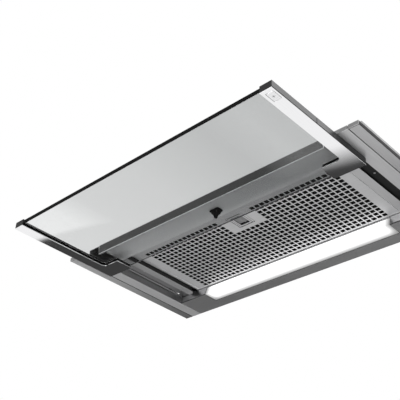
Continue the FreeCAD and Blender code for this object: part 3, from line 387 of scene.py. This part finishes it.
def metal(name, dark, light, roughness, grain, metallic=1.0, depth=brushed, strength=0.25):
    mat, tree, shader = newMaterial(name)
    shader.inputs["Metallic"].default_value = metallic
    fine = streaks(tree, grain)
    tree.links.new(shade(tree, fine, dark, light), shader.inputs["Base Color"])
    tree.links.new(mapped(tree, fine, noiseBand, roughness), shader.inputs["Roughness"])
    relief(tree, shader, fine, strength, depth)
    return mat


def plastic(name, colour, roughness, gloss, grain, mottle=(0.8, 1.25), depth=0.00003,
            strength=0.3):
    mat, tree, shader = newMaterial(name)
    shader.inputs["Specular IOR Level"].default_value = gloss
    fine = streaks(tree, (grain, grain, grain), 3.0)
    dark, light = [tuple(c * share for c in colour) for share in mottle]
    tree.links.new(shade(tree, fine, dark, light), shader.inputs["Base Color"])
    tree.links.new(mapped(tree, fine, noiseBand, roughness), shader.inputs["Roughness"])
    relief(tree, shader, fine, strength, depth)
    return mat


def shaderOf(mat):
    return next(node for node in mat.node_tree.nodes if node.type == "BSDF_PRINCIPLED")


def paintShadeTowards(mat, axis, limits, least):
    # painted shade: multiplies the colour by 1 before the first place along the axis, by least past
    # the second
    tree, shader = mat.node_tree, shaderOf(mat)
    place = tree.nodes.new("ShaderNodeTexCoord")
    parts = tree.nodes.new("ShaderNodeSeparateXYZ")
    tree.links.new(place.outputs["Object"], parts.inputs[0])
    fall = mapped(tree, parts.outputs[axis], limits, (1.0, least), "SMOOTHSTEP")
    scale = tree.nodes.new("ShaderNodeVectorMath")
    scale.operation = "SCALE"
    tree.links.new(shader.inputs["Base Color"].links[0].from_socket, scale.inputs[0])
    tree.links.new(fall, scale.inputs["Scale"])
    tree.links.new(scale.outputs[0], shader.inputs["Base Color"])


# the sign on the button: its middle, half the length and half the width of its two lines
keyMark = {"middle": (0.2567, -0.12375), "arm": 0.0021, "line": 0.00035, "colour": 0.08}


def addKeyMark(mat):
    # small printed cross: dark where one distance from the middle is within half a line's
    # width and the other within an arm's length
    tree, shader = mat.node_tree, shaderOf(mat)
    plain = shader.inputs["Base Color"].links[0].from_socket
    place = tree.nodes.new("ShaderNodeTexCoord")
    shift = tree.nodes.new("ShaderNodeVectorMath")
    shift.operation = "SUBTRACT"
    shift.inputs[1].default_value = (*keyMark["middle"], 0)
    size = tree.nodes.new("ShaderNodeVectorMath")
    size.operation = "ABSOLUTE"
    parts = tree.nodes.new("ShaderNodeSeparateXYZ")
    tree.links.new(place.outputs["Object"], shift.inputs[0])
    tree.links.new(shift.outputs[0], size.inputs[0])
    tree.links.new(size.outputs[0], parts.inputs[0])

    lines = []
    for across, along in (("X", "Y"), ("Y", "X")):
        narrow = maths(tree, "LESS_THAN", parts.outputs[across], keyMark["line"])
        short = maths(tree, "LESS_THAN", parts.outputs[along], keyMark["arm"])
        lines.append(maths(tree, "MULTIPLY", narrow, short))
    mix = tree.nodes.new("ShaderNodeMix")
    mix.data_type = "RGBA"
    colours = {socket.name: socket for socket in mix.inputs if socket.type == "RGBA"}
    dark = keyMark["colour"]
    colours["B"].default_value = (dark, dark, dark, 1)
    tree.links.new(plain, colours["A"])
    tree.links.new(maths(tree, "MAXIMUM", *lines), mix.inputs["Factor"])
    mixed = next(socket for socket in mix.outputs if socket.type == "RGBA")
    tree.links.new(mixed, shader.inputs["Base Color"])


pane = {   # smoked glass: its colour at one side, in the middle and at the other side; the tint is the glass's own, its darkening from side to side is painted reflection
    "sides": (-0.23, 0.23), "ior": 1.5,
    "colours": [(0.80, 0.81, 0.81, 1), (0.69, 0.70, 0.70, 1), (0.48, 0.49, 0.49, 1)],
}


def makePaneGlass():
    mat, tree, shader = newMaterial("paneGlass")
    place = tree.nodes.new("ShaderNodeTexCoord")
    across = tree.nodes.new("ShaderNodeSeparateXYZ")
    # the even tint is the glass's own; its fall across X is painted reflection of the studio
    tintAndReflection = tree.nodes.new("ShaderNodeValToRGB")
    first, middle, last = pane["colours"]
    tintAndReflection.color_ramp.elements[0].color = first
    tintAndReflection.color_ramp.elements[1].color = last
    tintAndReflection.color_ramp.elements.new(0.5).color = middle
    tree.links.new(place.outputs["Object"], across.inputs[0])
    tree.links.new(mapped(tree, across.outputs["X"], pane["sides"], (0, 1)), tintAndReflection.inputs[0])
    tree.links.new(tintAndReflection.outputs[0], shader.inputs["Base Color"])
    shader.inputs["Roughness"].default_value = 0.0
    shader.inputs["IOR"].default_value = pane["ior"]
    shader.inputs["Transmission Weight"].default_value = 1.0
    return mat


# the lamp behind the lens fades over its last millimetres: where it starts to and where it ends
lightGlow = {"ends": (0.1800, 0.2010), "rear": (0.2500, 0.2740), "strength": 1.25, "lens": 0.25}


def makeOpalLens():
    mat, tree, shader = newMaterial("opalLens")
    tone = lightGlow["lens"]
    shader.inputs["Base Color"].default_value = (tone, tone, tone, 1)
    shader.inputs["Emission Color"].default_value = (1, 1, 1, 1)
    place = tree.nodes.new("ShaderNodeTexCoord")
    spot = tree.nodes.new("ShaderNodeVectorMath")
    spot.operation = "ABSOLUTE"
    parts = tree.nodes.new("ShaderNodeSeparateXYZ")
    tree.links.new(place.outputs["Object"], spot.inputs[0])
    tree.links.new(spot.outputs[0], parts.inputs[0])
    glow = [mapped(tree, parts.outputs[axis], lightGlow[limits], (1.0, 0.0), "SMOOTHSTEP")
            for axis, limits in (("X", "ends"), ("Y", "rear"))]
    strength = maths(tree, "MULTIPLY", maths(tree, "MULTIPLY", *glow), lightGlow["strength"])
    tree.links.new(strength, shader.inputs["Emission Strength"])
    return mat


def grey(level):
    return (level, level, level * 1.01)


def makeMaterials():
    made = {}
    for name, (dark, light, *others) in metals.items():
        made[name] = metal(name, grey(dark), grey(light), *others)
    for name, look in plastics.items():
        made[name] = plastic(name, *look)
    for name, (axis, limits, least) in paintedShadeAlong.items():
        paintShadeTowards(made[name], axis, limits, least)
    addKeyMark(made["keySteel"])
    made["bronze"] = metal("bronze", *bronze.values())
    made["paneGlass"] = makePaneGlass()
    made["opalLens"] = makeOpalLens()
    return made


finishes = {
    "traySteel": ["rear_panel"],
    "panelSteel": ["front_panel"],
    "channelSteel": ["side_channel_left", "side_channel_right"],
    # the trims darken towards the rear: painted shade
    "trimSteel": ["trim_left", "trim_right", "trim_plugs"],
    "polishedSteel": ["rail_trim_left", "rail_trim_right"],
    "coverSteel": ["side_covers_front"],
    # the rear side covers darken towards the rear: painted shade
    "coverSteelRearShade": ["side_covers_rear"],
    "zincSheet": ["plenum_cover", "casing_wrap", "casing_lid", "guide_rail_left",
                  "guide_rail_right", "light_housing", "control_box", "fan_motor"],
    "filterAluminium": ["filter_frame", "filter_sheet"],
    "knitMesh": ["filter_mesh"],
    "zincSteel": ["housing_screws", "guide_screws", "motor_screws", "flap_pin", "motor_shaft",
                  "latch_spring", "drawer_magnet"],
    "bronze": ["motor_bearings"],
    "blackPlastic": ["end_caps", "foot_pads", "foot_clamps", "glide_blocks", "glass_bumper",
                     "outlet_collar", "flap_front", "flap_rear", "fan_scroll", "fan_inlet_ring",
                     "impeller", "cable_gland", "control_box_lid", "reed_sensor", "capacitor"],
    "blackRubber": ["glass_gaskets", "end_stops", "glass_edge_strip"],
    "board": ["light_board", "control_board", "button_board"],
    "paneGlass": ["glass_pane"],
    "latchAluminium": ["latch_cup", "filter_latch"],
    # on the carriages the dark steel is painted shade, for steel slides that lie in shade
    "darkSteelAndShade": ["rail_left", "rail_right", "carriage_left", "carriage_right"],
    "keySteel": ["button_key"],
    "opalLens": ["light_lens"],
}


def dressNodes():
    for name, members in finishes.items():
        for member in members:
            mesh = nodes[member].data
            mesh.materials.clear()
            mesh.materials.append(materials[name])


# where one piece changes its finish, painted shade and painted highlight included: distances from
# the middle, depths and heights in metres
borders = {
    "facing": 0.5,           # a face looks along an axis when its normal has this much of it
    "filterSide": 0.2225, "ledgeSide": 0.2365, "recessSide": 0.2605,
    "railSide": 0.265, "trimSide": 0.297,
    "wallDepth": 0.02, "frontDepth": 0.005, "lipHeight": -0.005, "recessHeight": -0.006,
}


def frontWall(centre, normal):
    return normal.y < -borders["facing"] and centre.y < borders["wallDepth"]


def wallLip(centre, normal):
    return normal.z < -borders["facing"] and centre.z < borders["lipHeight"]


def besideFilter(centre, normal):
    return abs(centre.x) < borders["filterSide"]


def leftLedge(centre, normal):
    return -borders["ledgeSide"] < centre.x < -borders["filterSide"]


def insideRecess(centre, normal):
    across = borders["ledgeSide"] < abs(centre.x) < borders["recessSide"]
    return across and centre.z > borders["recessHeight"]


def frontEnd(centre, normal):
    return normal.y < -borders["facing"] and centre.y < borders["frontDepth"]


def outerSide(centre, normal):
    return abs(centre.x) > borders["railSide"]


def trimSide(centre, normal):
    return abs(normal.x) > borders["facing"] and abs(centre.x) > borders["trimSide"]


# other finishes that some faces of a piece have, and which faces they are; most are painted shade
# or painted highlight
otherFinishes = {
    # front panel: the front wall's forward faces painted near black as shade; the wall's lip a
    # painted highlight
    "front_panel": [("frontWallShade", frontWall), ("paintedHighlightEdge", wallLip)],
    # left channel: its recess and left ledge are darker copies of its steel, painted shade; the
    # faces beside the filter are black
    "side_channel_left": [("recessShadeSteel", insideRecess), ("blackPlastic", besideFilter),
                          ("ledgeShadeSteel", leftLedge), ("coverSteel", frontEnd)],
    # right channel: its recess painted near black as shade; the faces beside the filter are black
    "side_channel_right": [("darkSteelAndShade", insideRecess), ("blackPlastic", besideFilter),
                           ("coverSteel", frontEnd)],
    "trim_plugs": [("coverSteel", frontEnd)],
    # outer sides of the rail trims and of the trims painted dark: painted shade along their outer
    # edges
    "rail_trim_left": [("darkSteelAndShade", outerSide)],
    "rail_trim_right": [("darkSteelAndShade", outerSide)],
    "trim_left": [("darkSteelAndShade", trimSide)],
    "trim_right": [("darkSteelAndShade", trimSide)],
}


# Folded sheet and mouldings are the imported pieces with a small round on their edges
easedEdges = {
    "radius": {              # in millimetres
        "side_channel_left": 0.5, "side_channel_right": 0.5, "front_panel": 0.9,
        "rear_panel": 0.7, "trim_left": 0.7, "trim_right": 0.7, "trim_plugs": 0.3,
        "rail_trim_left": 0.35, "rail_trim_right": 0.35, "side_covers_front": 0.35,
        "side_covers_rear": 0.35, "end_caps": 0.3, "glass_edge_strip": 0.4,
        "foot_pads": 0.4, "foot_clamps": 0.3, "glass_gaskets": 0.3,
        "carriage_left": 0.25, "carriage_right": 0.25,
        "guide_rail_left": 0.25, "guide_rail_right": 0.25,
        "filter_frame": 0.3, "filter_latch": 0.25,
        "plenum_cover": 0.5, "casing_wrap": 0.5, "casing_lid": 0.4,
        "outlet_collar": 0.4, "flap_front": 0.25, "flap_rear": 0.25,
        "fan_scroll": 0.4, "fan_inlet_ring": 0.4, "fan_motor": 0.5,
        "control_box": 0.5, "control_box_lid": 0.5, "light_housing": 0.4,
        "light_lens": 0.6,
    },
    "edgeFinish": {          # finish of the round itself, where it differs: the light copy of steel is a painted highlight, dark steel a painted shadow line
        "front_panel": "paintedHighlightEdge", "rail_trim_left": "paintedHighlightEdge",
        "rail_trim_right": "paintedHighlightEdge", "filter_frame": "paintedHighlightEdge",
        "side_covers_front": "darkSteelAndShade", "side_covers_rear": "darkSteelAndShade",
        "trim_left": "darkSteelAndShade", "trim_right": "darkSteelAndShade", "rear_panel": "darkSteelAndShade",
    },
    "flatFaced": ["rail_trim_left", "rail_trim_right"],   # mirrors, exact without evened normals
    "segments": 2,
    "joined": 1e-6,          # corners this near become one, in metres
    "levelled": 0.005,       # radians; faces that meet at less become one
    "foldAngle": 0.7,        # radians; flatter edges stay as they are
    "curved": (0.01, 0.6),   # radians; a face with an edge between these is part of a curve
    "shortest": 0.0012,      # edges of drilled holes are shorter than this
    "evenWeight": 100,
}


def easeNode(nodeName, radius):
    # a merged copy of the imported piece; only its long folds get a small round
    shape = bmesh.new()
    shape.from_mesh(nodes[nodeName].data)
    bmesh.ops.remove_doubles(shape, verts=shape.verts, dist=easedEdges["joined"])
    bmesh.ops.dissolve_limit(shape, angle_limit=easedEdges["levelled"], verts=shape.verts,
                             edges=shape.edges, use_dissolve_boundaries=False)
    weight = shape.edges.layers.float.new("bevel_weight_edge")
    flattest, sharpest = easedEdges["curved"]
    for edge in shape.edges:
        fold = edge.calc_face_angle(0.0)
        if fold > easedEdges["foldAngle"] and edge.calc_length() > easedEdges["shortest"]:
            edge[weight] = 1.0
        edge.smooth = fold < sharpest
    others = otherFinishes.get(nodeName, [])
    for face in shape.faces:
        face.smooth = any(flattest < edge.calc_face_angle(0.0) < sharpest for edge in face.edges)
        for number, (finish, belongs) in enumerate(others):
            if belongs(face.calc_center_median(), face.normal):
                face.material_index = number + 1
    mesh = bpy.data.meshes.new(nodeName + "_eased")
    shape.to_mesh(mesh)
    shape.free()
    mesh.materials.append(nodes[nodeName].data.materials[0])
    for finish, belongs in others:
        mesh.materials.append(materials[finish])
    edgeFinish = easedEdges["edgeFinish"].get(nodeName)
    if edgeFinish:
        mesh.materials.append(materials[edgeFinish])
    piece = bpy.data.objects.new(nodeName + "_eased", mesh)
    bpy.context.scene.collection.objects.link(piece)
    rounding = piece.modifiers.new("rounding", "BEVEL")
    rounding.limit_method = "WEIGHT"
    rounding.width = radius / 1000
    rounding.segments = easedEdges["segments"]
    rounding.use_clamp_overlap = False
    rounding.material = len(mesh.materials) - 1 if edgeFinish else -1
    if nodeName not in easedEdges["flatFaced"]:
        even = piece.modifiers.new("even", "WEIGHTED_NORMAL")
        even.weight = easedEdges["evenWeight"]
    return standFor(piece, nodeName)


# all in metres; the last is how much of +Y the normal of the pane's rear edge faces has at least,
# and those faces are painted near black as shade
glassPlate = {"corner": 0.0015, "edgeRound": 0.0010, "edgeSteps": 4, "shadedEdgeFacing": 0.3}


def makeGlass():
    # rounded rectangle, drawn in by a quarter circle below and above the ground edge
    low, high = np.array(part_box("glass_pane"))
    middle, half = (low + high)[:2] / 2, (high - low)[:2] / 2
    inset, rise = roundSteps(glassPlate["edgeRound"], glassPlate["edgeSteps"])
    insets = np.concatenate([inset, inset[::-1]])
    heights = np.concatenate([low[2] + rise, high[2] - rise[::-1]])
    loops = [roundedOutline(half[0] - d, half[1] - d, glassPlate["corner"]) for d in insets]
    glass = gridObject("glassPane", atHeights(loops, heights, middle), closed=True)
    # painted shade: the pane's rear edge faces take the near-black edge finish
    edgeShade = smoothSides(glass)[:, 1] > glassPlate["shadedEdgeFacing"]
    standFor(glass, "glass_pane", "paneGlass", "paneEdgeShade")
    glass.data.polygons.foreach_set("material_index", edgeShade.astype(np.int32))


bumper = {
    "panelFace": 0.0105,     # the panel's face lies this far above its lowest edge, in metres
    # height from the panel's face, half width and half depth in mm, power of the outline
    "rings": [(2.7, 2.0, 2.0, 2), (2.7, 3.0, 3.0, 2), (0.0, 3.0, 3.0, 2), (0.0, 9.1, 6.1, 7),
              (-0.3, 9.5, 6.5, 7), (-1.9, 9.5, 6.5, 7), (-2.3, 9.2, 6.2, 6),
              (-2.7, 6.4, 5.4, 3.5), (-3.3, 6.2, 5.2, 2.6), (-3.6, 7.2, 6.4, 2.3),
              (-4.2, 7.8, 7.0, 2.2), (-5.2, 7.6, 6.8, 2.2), (-5.7, 6.6, 6.0, 2.2),
              (-6.8, 5.4, 5.0, 2.1), (-8.6, 4.3, 4.0, 2), (-10.8, 3.5, 3.3, 2),
              (-12.8, 3.0, 2.8, 2), (-13.8, 2.6, 2.4, 2), (-14.2, 1.6, 1.5, 2)],
}


def makeBumper():
    # superellipses at falling heights: a plate, a round collar and a cone for the glass
    low, high = np.array(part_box("glass_bumper"))
    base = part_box("front_panel")[0][2] + bumper["panelFace"]
    rings = np.array(bumper["rings"]) * (0.001, 0.001, 0.001, 1)
    loops = [superEllipse(x, y, power) for z, x, y, power in rings[::-1]]
    points = atHeights(loops, base + rings[::-1, 0], (low + high)[:2] / 2)
    standFor(gridObject("glassBumper", points, closed=True), "glass_bumper", "blackRubber")


key = {   # in metres; the heights are above the key's face
    "size": (0.0116, 0.0175), "corner": 0.0012, "round": 0.0003,
    "flangeReach": 0.0018, "flangeHeights": (0.0015, 0.0025),
    "stem": 0.002, "stemCorner": 0.0008,
}


def makeButton():
    # key face, its wider flange above the trim and the stem that reaches the switch
    low, high = np.array(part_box("button_key"))
    x, y = key["size"][0] / 2, key["size"][1] / 2
    inset, rise = roundSteps(key["round"])
    corner, wide = key["corner"], y + key["flangeReach"]
    loops = [roundedOutline(x - d, y - d, corner) for d in inset]
    heights = list(low[2] + rise)
    flange, back = low[2] + np.array(key["flangeHeights"])
    stem, stemCorner = key["stem"], key["stemCorner"]
    for halfX, halfY, radius, z in ((x, y, corner, flange), (x, wide, corner, flange),
                                    (x, wide, corner, back), (stem, stem, stemCorner, back),
                                    (stem, stem, stemCorner, high[2])):
        loops.append(roundedOutline(halfX, halfY, radius))
        heights.append(z)
    points = atHeights(loops, heights, (low + high)[:2] / 2)
    button = gridObject("buttonKey", points, closed=True)
    smoothSides(button)
    standFor(button, "button_key", "keySteel")


press = {   # pressed sheet of the grease filter, in metres
    "pitch": 0.0099, "hole": 0.0077, "corner": 0.0010, "roll": 0.00015, "wall": 0.0003,
    "columns": 40, "rows": 16, "firstRow": 0.0870, "latchColumns": (17, 24), "latchRows": 5,
    "latchMiddle": (0.00495, 0.1045), "window": (0.0160, 0.0190), "windowCorner": 0.0012,
    "cornerSteps": 2,        # every hole and the window are rings of 4 x 3 points
}


def makeFilterSheet():
    # lattice of square cells, each with a rounded hole's ring that rolls upwards; the cells
    # behind the latch plate are one opening, and plain strips run round the outside
    low, high = np.array(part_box("filter_sheet"))
    pitch = press["pitch"]
    lineX = (np.arange(press["columns"] + 1) - press["columns"] / 2) * pitch
    lineY = press["firstRow"] + (np.arange(press["rows"] + 1) - 0.5) * pitch
    lineX = np.concatenate([[low[0]], lineX, [high[0]]])
    lineY = np.concatenate([[low[1]], lineY, [high[1]]])
    gx, gy = np.meshgrid(lineX, lineY, indexing="ij")
    lattice = np.stack([gx, gy, np.full_like(gx, low[2])], -1).reshape(-1, 3)
    node = np.arange(gx.size).reshape(gx.shape)
    corners = np.stack([node[1:, 1:], node[:-1, 1:], node[:-1, :-1], node[1:, :-1]], -1)
    plain, hole, latch = 0, 1, 2
    kind = np.full(corners.shape[:2], plain)
    kind[1:-1, 1:-1] = hole
    c0, c1 = press["latchColumns"]
    kind[1 + c0:1 + c1, 1:1 + press["latchRows"]] = latch

    roll, steps = press["roll"], press["cornerSteps"]
    inset, rise = roundSteps(roll, 2)
    rings = [roundedOutline(press["hole"] / 2 + roll - d, press["hole"] / 2 + roll - d,
                            press["corner"] + roll - d, steps) for d in roll - inset]
    ring = atHeights(rings, rise, (0, 0))                   # ring, point round it, place
    cells = corners[kind == hole]
    middles = (lattice[cells[:, 0]] + lattice[cells[:, 2]]) / 2
    holes = middles[:, None, None, :] + ring[None]
    place = gx.size + np.arange(holes[..., 0].size).reshape(holes.shape[:3])

    # flat metal between each hole and its cell's four sides, then the rolled wall
    count = ring.shape[1]
    own = np.arange(count).reshape(4, steps + 1)            # a ring's points, corner by corner
    around = np.roll(own, -1, axis=0)
    flat = np.concatenate([
        np.stack([cells[:, side], cells[:, (side + 1) % 4],
                  place[:, 0, around[side, 1]], place[:, 0, around[side, 0]],
                  place[:, 0, own[side, 2]], place[:, 0, own[side, 1]]], -1)
        for side in range(4)])
    nextOf = np.roll(np.arange(count), -1)
    walls = np.stack([place[:, :-1], place[:, :-1, nextOf], place[:, 1:, nextOf], place[:, 1:]], -1)
    faces = flat[:, ::-1].tolist() + walls.reshape(-1, 4)[:, ::-1].tolist()
    faces += corners[kind == plain][:, ::-1].tolist()

    # strip between the latch's opening and the lattice lines round it
    start = gx.size + holes[..., 0].size
    window = roundedOutline(*press["window"], press["windowCorner"], steps)
    window = atHeights([window], [low[2]], press["latchMiddle"])[0]
    x0, x1, y1 = 1 + c0, 1 + c1, 1 + press["latchRows"]
    edges = [node[x1, y1:0:-1][::-1], node[x0:x1 + 1, y1][::-1], node[x0, 1:y1 + 1][::-1],
             node[x0:x1 + 1, 1]]
    for side in range(4):
        line = edges[(side + 1) % 4]
        inner = start + np.array([around[side, 1], around[side, 0], own[side, 2], own[side, 1]])
        faces.append(np.concatenate([line, inner])[::-1].tolist())
    points = np.concatenate([lattice, holes.reshape(-1, 3), window])

    used = np.unique(np.concatenate([np.asarray(face) for face in faces]))
    number = np.full(len(points), -1)
    number[used] = np.arange(len(used))
    faces = [number[np.asarray(face)].tolist() for face in faces]
    sheet = meshObject("filterSheet", points[used], faces)
    smoothSides(sheet)
    wall = sheet.modifiers.new("wall", "SOLIDIFY")
    wall.thickness = press["wall"]
    wall.offset = -1
    standFor(sheet, "filter_sheet", "filterAluminium")


latchPlate = {   # half sizes of the plate, its groove and its opening, in metres
    "plate": (0.01515, 0.01815), "groove": (0.0118, 0.0172), "opening": (0.0088, 0.0139),
    "grooveWidth": 0.0005, "grooveDepth": 0.0005, "grooveSlant": 0.0001,
    "round": 0.0003, "bend": 0.3,           # a round's middle point, as a share of it
    "plateHeight": 0.0012, "corner": 0.0012, "cupWall": 0.0012, "roofWall": 0.0012,
    "roofRound": 0.0002, "roofRim": 0.002,
    "mouth": 0.0142, "mouthDepth": 0.0004,  # faces nearer the middle and deeper are dark: painted shade inside the cup
    "faceDepth": 0.00001,                   # and so are the groove's, deeper than this: painted shadow in the groove
    "grooveReach": 0.0002,                  # as far out as this past the groove
}


def makeLatchPlate():
    # section carried round: plate edge, face with a groove, opening, cup wall and cup roof
    low, high = np.array(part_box("latch_cup"))
    middle = (low + high)[:2] / 2
    z, top, roof = low[2], low[2] + latchPlate["plateHeight"], high[2]
    ceiling = roof - latchPlate["roofWall"]
    px, py = latchPlate["plate"]
    gx, gy = latchPlate["groove"]
    ox, oy = latchPlate["opening"]
    w, d, c = latchPlate["grooveWidth"], latchPlate["grooveDepth"], latchPlate["cupWall"]
    s, e, rim = latchPlate["grooveSlant"], latchPlate["roofRound"], latchPlate["roofRim"]
    r = latchPlate["round"]
    m = r * latchPlate["bend"]
    section = [(ox - rim, oy - rim, ceiling), (ox - e, oy - e, ceiling), (ox, oy, ceiling - e),
               (ox, oy, z + r), (ox + m, oy + m, z + m), (ox + r, oy + r, z), (gx, gy, z),
               (gx + s, gy + s, z + d), (gx + w, gy + w, z + d), (gx + w + s, gy + w + s, z),
               (px - r, py - r, z), (px - m, py - m, z + m), (px, py, z + r), (px, py, top),
               (ox + c, oy + c, top), (ox + c, oy + c, roof)]
    loops = [roundedOutline(x, y, latchPlate["corner"]) for x, y, height in section]
    heights = [height for x, y, height in section]
    plate = gridObject("latchPlate", atHeights(loops, heights, middle), closed=True)
    smoothSides(plate)
    standFor(plate, "latch_cup", "plateAluminium", "darkSteelAndShade")
    # painted shade: the cup's inside and the groove take dark steel
    places = np.array([face.center for face in plate.data.polygons])
    away, height = np.abs(places[:, :2] - middle), places[:, 2] - z
    cupShade = (away.max(axis=1) < latchPlate["mouth"]) & (height > latchPlate["mouthDepth"])
    groove = (height > latchPlate["faceDepth"]) & (height < d + s) & ~cupShade
    groove &= away[:, 0] < gx + w + latchPlate["grooveReach"]
    plate.data.polygons.foreach_set("material_index", (cupShade | groove).astype(np.int32))


spring = {   # in metres, and points along one turn and round the wire
    "turns": 8, "wire": 0.00035, "play": 0.00035, "fixedEnd": 0.1184,
    "alongTurn": 20, "roundWire": 10,
}


def makeSpring():
    # helix along Y: the coil's radius times (cosine, sine) of an angle that grows evenly,
    # and round it a circle whose axes are the outward direction and Y
    low, high = np.array(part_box("latch_spring"))
    wire, turns, play = spring["wire"], spring["turns"], spring["play"]
    radius = (high - low)[0] / 2 - wire
    middle = (low + high) / 2
    angle = np.linspace(0, 2 * np.pi * turns, turns * spring["alongTurn"] + 1)[:, None]
    around = np.linspace(0, 2 * np.pi, spring["roundWire"], endpoint=False)[None, :]
    along = np.linspace(low[1] + play, high[1] - play, angle.size)[:, None]
    reach = radius + wire * np.cos(around)
    points = np.stack([middle[0] + reach * np.cos(angle), along + wire * np.sin(around),
                       middle[2] + reach * np.sin(angle)], -1)
    coil = gridObject("latchSpring", points, closed=True)
    standFor(coil, "latch_spring", "zincSteel")
    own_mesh(coil)


makeCamera()
makeWorld()
makeFloor()
makeFlag()
for name, lamp in studio["lamps"].items():
    addLamp(name, *lamp)
bpy.context.scene.view_settings.view_transform = "Standard"
print("camera, world, floor, flag and lamps made")

materials = makeMaterials()
dressNodes()
print("materials on", sum(len(members) for members in finishes.values()), "nodes")

for nodeName, radius in easedEdges["radius"].items():
    easeNode(nodeName, radius)
print("edges eased on", len(easedEdges["radius"]), "pieces")

makeGlass()
makeBumper()
makeSpring()
makeButton()
makeFilterSheet()
makeLatchPlate()
print("glass, bumper, spring, button, filter sheet and latch plate made")
